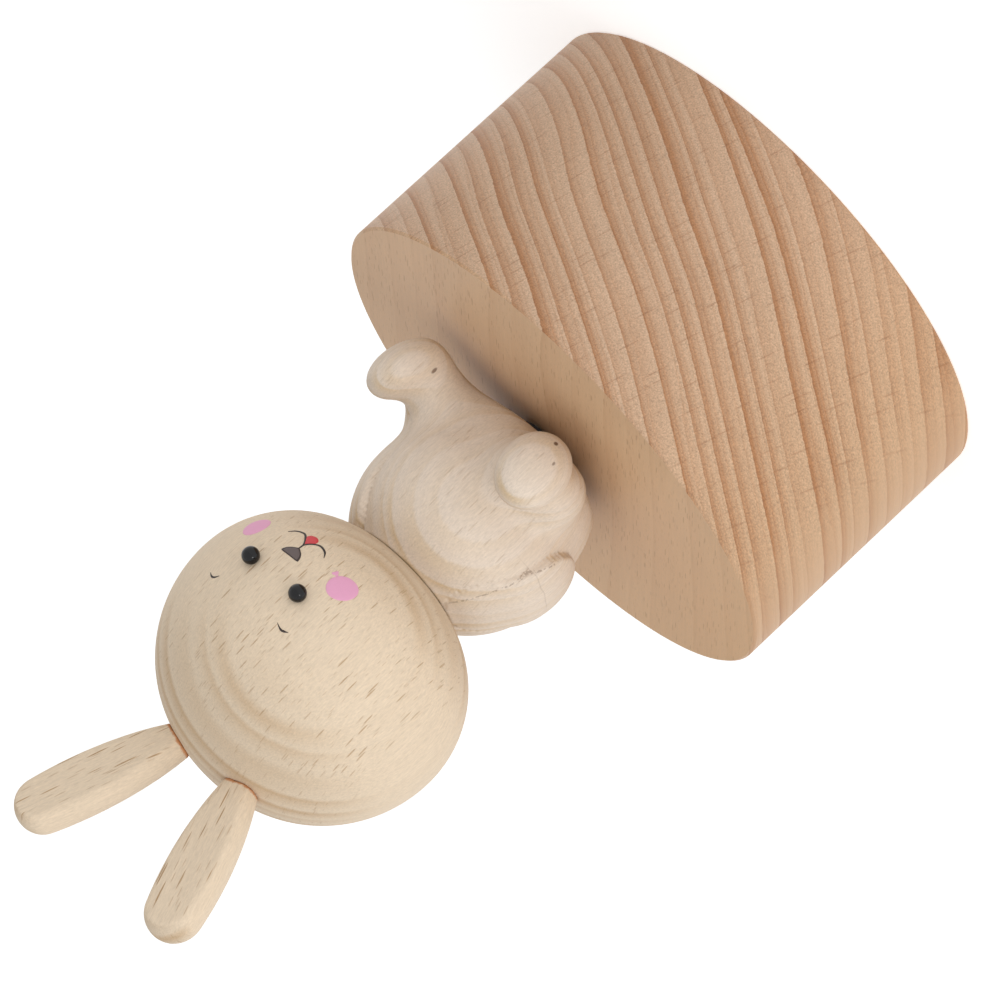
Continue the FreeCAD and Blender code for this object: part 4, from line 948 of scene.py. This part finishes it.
def ear_field(local, side):
    """A turned bud with two flats; its foot follows the head."""
    across = np.hypot(local[:, 0], local[:, 1])
    along = local[:, 2]
    half = EAR_WIDE / 2
    narrower = half - EAR_ROOT_WIDE / 2
    side_r = (EAR_WIDE_H ** 2 + narrower ** 2) / (2 * narrower)
    centre = half - side_r
    above = EAR_LONG - EAR_WIDE_H
    tip_r = (side_r ** 2 - centre ** 2 - above ** 2) / (2 * (side_r - above))
    side_form = np.hypot(across - centre, along - EAR_WIDE_H) - side_r
    tip_form = np.hypot(across, along - EAR_LONG + tip_r) - tip_r
    at_tip = (across - centre) * (above - tip_r) - (along - EAR_WIDE_H) * -centre < 0
    bud = np.where(at_tip, tip_form, side_form)
    ear = trim(bud, np.abs(local[:, 1]) - EAR_DEEP / 2, EAR_EDGE)
    foot, axes = ear_frame(side)
    place = foot + local @ axes
    return np.maximum(ear, crown_r - np.linalg.norm(place - np.array([0, 0, crown_z]), axis=1))


for side, name in SIDES:
    half = EAR_WIDE / 2 + 1.0
    ear_points, ear_faces = carved(lambda p: ear_field(p, side), (-half, -half, -1.0),
                                   (half, half, EAR_LONG + 1.0), EAR_CELL * coarse)
    foot, axes = ear_frame(side)
    ear = make_mesh("soft_ear_" + name, foot + ear_points @ axes, ear_faces, ear_woods[side])
    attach(ear, "rabbit")
    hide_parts("ear_" + name)


# Head and eyes
def oval_half(across, height, turn, count):
    """Outline of half an oval from its widest place to its pole: a side arc of a turn, then a pole arc."""
    end = math.radians(turn)
    share = math.sin(end) + math.cos(end) - 1
    side_r = (height * math.cos(end) - across * (1 - math.sin(end))) / share
    pole_r = (across * math.sin(end) - height * (1 - math.cos(end))) / share
    turns = np.linspace(0, math.pi / 2, count)
    side = np.stack([across - side_r + side_r * np.cos(turns), side_r * np.sin(turns)], 1)
    pole = np.stack([pole_r * np.cos(turns), height - pole_r + pole_r * np.sin(turns)], 1)
    return np.where((turns < end)[:, None], side, pole)


def turned(name, outline, material, centre=(0, 0, 0), axes=np.eye(3), count=160):
    """A closed turned form of the rabbit. Its outline gives distances from the axis and places along it."""
    turns = np.linspace(0, 2 * math.pi, count, endpoint=False)
    points = [(0, 0, outline[0][1])]
    for radius, height in outline[1:-1]:
        points += [(radius * math.cos(t), radius * math.sin(t), height) for t in turns]
    points.append((0, 0, outline[-1][1]))
    last = len(points) - 1
    faces = [(0, 1 + (k + 1) % count, 1 + k) for k in range(count)]
    for row in range(len(outline) - 3):
        for k in range(count):
            a = 1 + row * count + k
            b = 1 + row * count + (k + 1) % count
            faces.append((a, b, b + count, a + count))
    faces += [(last, last - count + k, last - count + (k + 1) % count) for k in range(count)]
    made = make_mesh(name, np.array(centre) + np.array(points, float) @ axes, faces, material)
    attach(made, "rabbit")
    return made


head_mid_z = head_high[2] - HEAD_UP
hole_r = dowel_high[0] + GLUE_GAP
hole_top_z = dowel_high[2] + GLUE_GAP
upper = oval_half(head_high[0], HEAD_UP, HEAD_UP_TURN, HEAD_ROWS) + (0, head_mid_z)
lower = (oval_half(head_high[0], HEAD_DOWN, HEAD_DOWN_TURN, HEAD_ROWS) * (1, -1) + (0, head_mid_z))[::-1]
rim_z = np.interp(hole_r, lower[:, 0], lower[:, 1])
lower = lower[lower[:, 0] > hole_r * NECK_RIM]
head = turned("turned_head", [(0, hole_top_z), (hole_r, hole_top_z), (hole_r, rim_z), *lower, *upper[1:]],
              materials["figure_wood"])
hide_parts("rabbit_head")

bead_z = head_mid_z - BEAD_DROP
round_turns = np.linspace(math.asin(BEAD_PIN_R / BEAD_R), math.pi, BEAD_ROWS)
bead_outline = [(0, -BEAD_R - BEAD_PIN_LONG), (BEAD_PIN_R, -BEAD_R - BEAD_PIN_LONG),
                *[(BEAD_R * math.sin(t), -BEAD_R * math.cos(t)) for t in round_turns]]
for side, name in SIDES:
    a = math.radians(BEAD_TURNS[side])
    out = np.array([math.sin(a), -math.cos(a), 0.0])
    axes = np.array([[math.cos(a), math.sin(a), 0.0], [0.0, 0.0, 1.0], out])
    centre = out * (head_high[0] + BEAD_OUT) + (0, 0, bead_z)
    bead = turned("bead_" + name, bead_outline, materials["eye_black"], centre, axes, BEAD_SIDES)
    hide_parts("eye_" + name)


# Paint on the face
def on_head(across, height):
    """Point of the head's surface seen from straight ahead, and the direction out of it."""
    start = Vector((across * MM, head_low[1] * MM * 2, height * MM))
    hit = head_tree.ray_cast(start, Vector((0, 1, 0)))[0]
    point = np.array(hit) / MM
    out = point - np.array([0, 0, (head_low[2] + head_high[2]) / 2])
    return point, out / np.linalg.norm(out)


def painted(name, rows, material):
    """A thin closed film of paint on the head. Each row is a ring of places across and up, with its depth."""
    points = []
    for ring, depth in rows:
        for across, height in ring:
            point, out = on_head(across, height)
            points.append(point + out * depth)
    count = len(rows[0][0])
    faces = []
    for row in range(len(rows) - 1):
        for k in range(count):
            a, b = row * count + k, row * count + (k + 1) % count
            faces.append((a, b, b + count, a + count))
    faces.append(tuple(range(count))[::-1])
    faces.append(tuple(range((len(rows) - 1) * count, len(rows) * count)))
    film = make_mesh(name, points, faces, material)
    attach(film, "rabbit")


def film_rows(middle, outline, levels, deep):
    """Rings of a film, each a share of the way from its middle to its outline, with its depth."""
    return [(middle + (outline - middle) * share, level * (deep if level > 0 else PAINT_SUNK))
            for share, level in levels]


def spot(name, outline, material, deep=PAINT_DEEP):
    """A filled painted shape inside an outline."""
    outline = np.asarray(outline, float)
    painted(name, film_rows(outline.mean(0), outline, SPOT_FILM, deep), material)


def curve(points, count):
    """Smooth line through points, as evenly counted places."""
    points = np.asarray(points, float)
    padded = np.vstack([2 * points[0] - points[1], points, 2 * points[-1] - points[-2]])
    places = []
    for t in np.linspace(0, len(points) - 1, count):
        i = min(int(t), len(points) - 2)
        u = t - i
        a, b, c, d = padded[i:i + 4]
        places.append(b + 0.5 * u * (c - a + u * (2 * a - 5 * b + 4 * c - d + u * (3 * (b - c) + d - a))))
    return np.array(places)


def stroke(name, points, widths, material):
    """A brush line through points, with its width at even steps along it."""
    line = curve(points, STROKE_STEPS)
    wide = np.interp(np.linspace(0, 1, STROKE_STEPS), np.linspace(0, 1, len(widths)), widths)
    along = np.gradient(line, axis=0)
    along /= np.linalg.norm(along, axis=1)[:, None]
    side = np.stack([-along[:, 1], along[:, 0]], 1) * wide[:, None] / 2
    outline = np.vstack([line + side, (line - side)[::-1]])
    middle = np.vstack([line, line[::-1]])
    painted(name, film_rows(middle, outline, STROKE_FILM, PAINT_DEEP), material)


def round_spot(across, height, radius, change, count):
    """Slightly uneven round outline."""
    turns = np.linspace(0, 2 * math.pi, count, endpoint=False)
    reach = radius * (1 + change * np.sin(3 * turns + across))
    return np.stack([across + reach * np.cos(turns) * CHEEK_NARROW, height + reach * np.sin(turns)], 1)


paint_dark = plain("paint_dark", srgb(52, 38, 35), 0.5, grain=0.15, size=0.4)
paint_nose = plain("paint_nose", srgb(104, 90, 88), 0.5, grain=0.12, size=0.4)
paint_pink = plain("paint_pink", srgb(240, 172, 205), 0.6, grain=0.05, size=0.5)
paint_red = plain("paint_red", srgb(224, 62, 70), 0.4, grain=0.12, size=0.5)

spot("nose_edge", curve(NOSE + NOSE[:1], NOSE_STEPS)[:-1], paint_dark)
nose_middle = np.mean(NOSE, axis=0)
nose_inner = nose_middle + (np.array(NOSE) - nose_middle) * (1 - NOSE_EDGE)
spot("nose", curve([*nose_inner, nose_inner[0]], NOSE_STEPS)[:-1], paint_nose, NOSE_DEEP)
for name, (points, widths) in MOUTH.items():
    stroke(name, points, widths, paint_dark)
spot("tongue", curve(TONGUE, TONGUE_STEPS)[:-1], paint_red, TONGUE_DEEP)
for name, (points, widths) in BROWS.items():
    stroke(name, points, widths, paint_dark)
for name, (*outline, deep) in PINK_SPOTS.items():
    spot(name, round_spot(*outline), paint_pink, deep)


# Floor, room, lamp and camera
def floor_material():
    """Material of the floor: it takes shadows, and the camera sees it white."""
    net = material_net("floor_white")
    net.tree.nodes.remove(net.shader)
    paint = net.add("ShaderNodeBsdfDiffuse")
    paint.inputs["Color"].default_value = (TABLE_PAINT, TABLE_PAINT, TABLE_PAINT, 1.0)
    glow = net.add("ShaderNodeEmission")
    glow.inputs["Color"].default_value = (*WHITE, 1.0)
    strength = net.math("MULTIPLY_ADD", net.seen_directly(), TABLE_SEEN_GLOW, TABLE_GLOW)
    net.feed(glow.inputs["Strength"], strength)
    both = net.add("ShaderNodeAddShader")
    net.feed(both.inputs[0], paint.outputs[0])
    net.feed(both.inputs[1], glow.outputs[0])
    net.feed(net.tree.nodes["Material Output"].inputs["Surface"], both.outputs[0])
    return net.material


half = FLOOR_SIZE / 2
floor = make_mesh("floor", [(-half, -half, 0), (half, -half, 0), (half, half, 0), (-half, half, 0)],
                  [(0, 1, 2, 3)], floor_material(), smooth=False)

world = bpy.data.worlds.new("room")
bpy.context.scene.world = world
room = Net(world)
room_turn = math.radians(CAMERA_SIDE_TURN + ROOM_TURN)
bright_way = (math.sin(room_turn) * ROOM_SLOPE, -math.cos(room_turn) * ROOM_SLOPE, 0.0)
way = room.add("ShaderNodeTexCoord").outputs["Generated"]
lit = room.math("ADD", room.vector("DOT_PRODUCT", way, bright_way), ROOM_LIGHT)
lit = room.math("MAXIMUM", lit, ROOM_LEAST)
level = room.math("MULTIPLY_ADD", room.seen_directly(), room.math("SUBTRACT", 1.0, lit), lit)
backdrop = room.tree.nodes["Background"]
backdrop.inputs["Color"].default_value = (*WHITE, 1.0)
room.feed(backdrop.inputs["Strength"], level)


def round_camera(turn, lift, away):
    """Point at a turn to the camera's right and a lift, round the middle of the box."""
    a = math.radians(CAMERA_SIDE_TURN + turn)
    e = math.radians(lift)
    way = Vector((math.sin(a) * math.cos(e), -math.cos(a) * math.cos(e), math.sin(e)))
    return Vector((0, 0, AIM_Z * MM)) + way * away * MM


def key_lamp():
    """Square soft lamp aimed at the box."""
    light = bpy.data.lights.new("key", "AREA")
    light.shape = "SQUARE"
    light.size = KEY_SIZE * MM
    light.energy = KEY_POWER
    made = bpy.data.objects.new("key", light)
    bpy.context.scene.collection.objects.link(made)
    made.location = round_camera(KEY_TURN, KEY_LIFT, KEY_AWAY)
    aim = Vector((0, 0, AIM_Z * MM)) - made.location
    made.rotation_mode = "QUATERNION"
    made.rotation_quaternion = aim.to_track_quat("-Z", "Y")


def photo_camera():
    """Camera at the photograph's angle, roll and framing."""
    lift = math.radians(CAMERA_LIFT)
    roll = math.radians(CAMERA_ROLL)
    back = Vector((0, -math.cos(lift), math.sin(lift)))
    right = Vector((1, 0, 0))
    up = Vector((0, math.sin(lift), math.cos(lift)))
    turned_right = right * math.cos(roll) - up * math.sin(roll)
    turned_up = right * math.sin(roll) + up * math.cos(roll)
    place = (Vector((AIM_SIDE, 0, AIM_Z)) + back * CAMERA_AWAY) * MM
    axes = Matrix((turned_right, turned_up, back)).transposed().to_4x4()
    data = bpy.data.cameras.new("photo")
    data.sensor_width = SENSOR
    data.lens = FOCAL_PX / PHOTO_PX * SENSOR
    data.clip_start, data.clip_end = CLIP_M
    made = bpy.data.objects.new("photo", data)
    bpy.context.scene.collection.objects.link(made)
    round_box = Matrix.Rotation(math.radians(CAMERA_SIDE_TURN), 4, "Z")
    made.matrix_world = round_box @ Matrix.Translation(place) @ axes
    bpy.context.scene.camera = made


key_lamp()
photo_camera()
bpy.context.scene.view_settings.view_transform = "Standard"
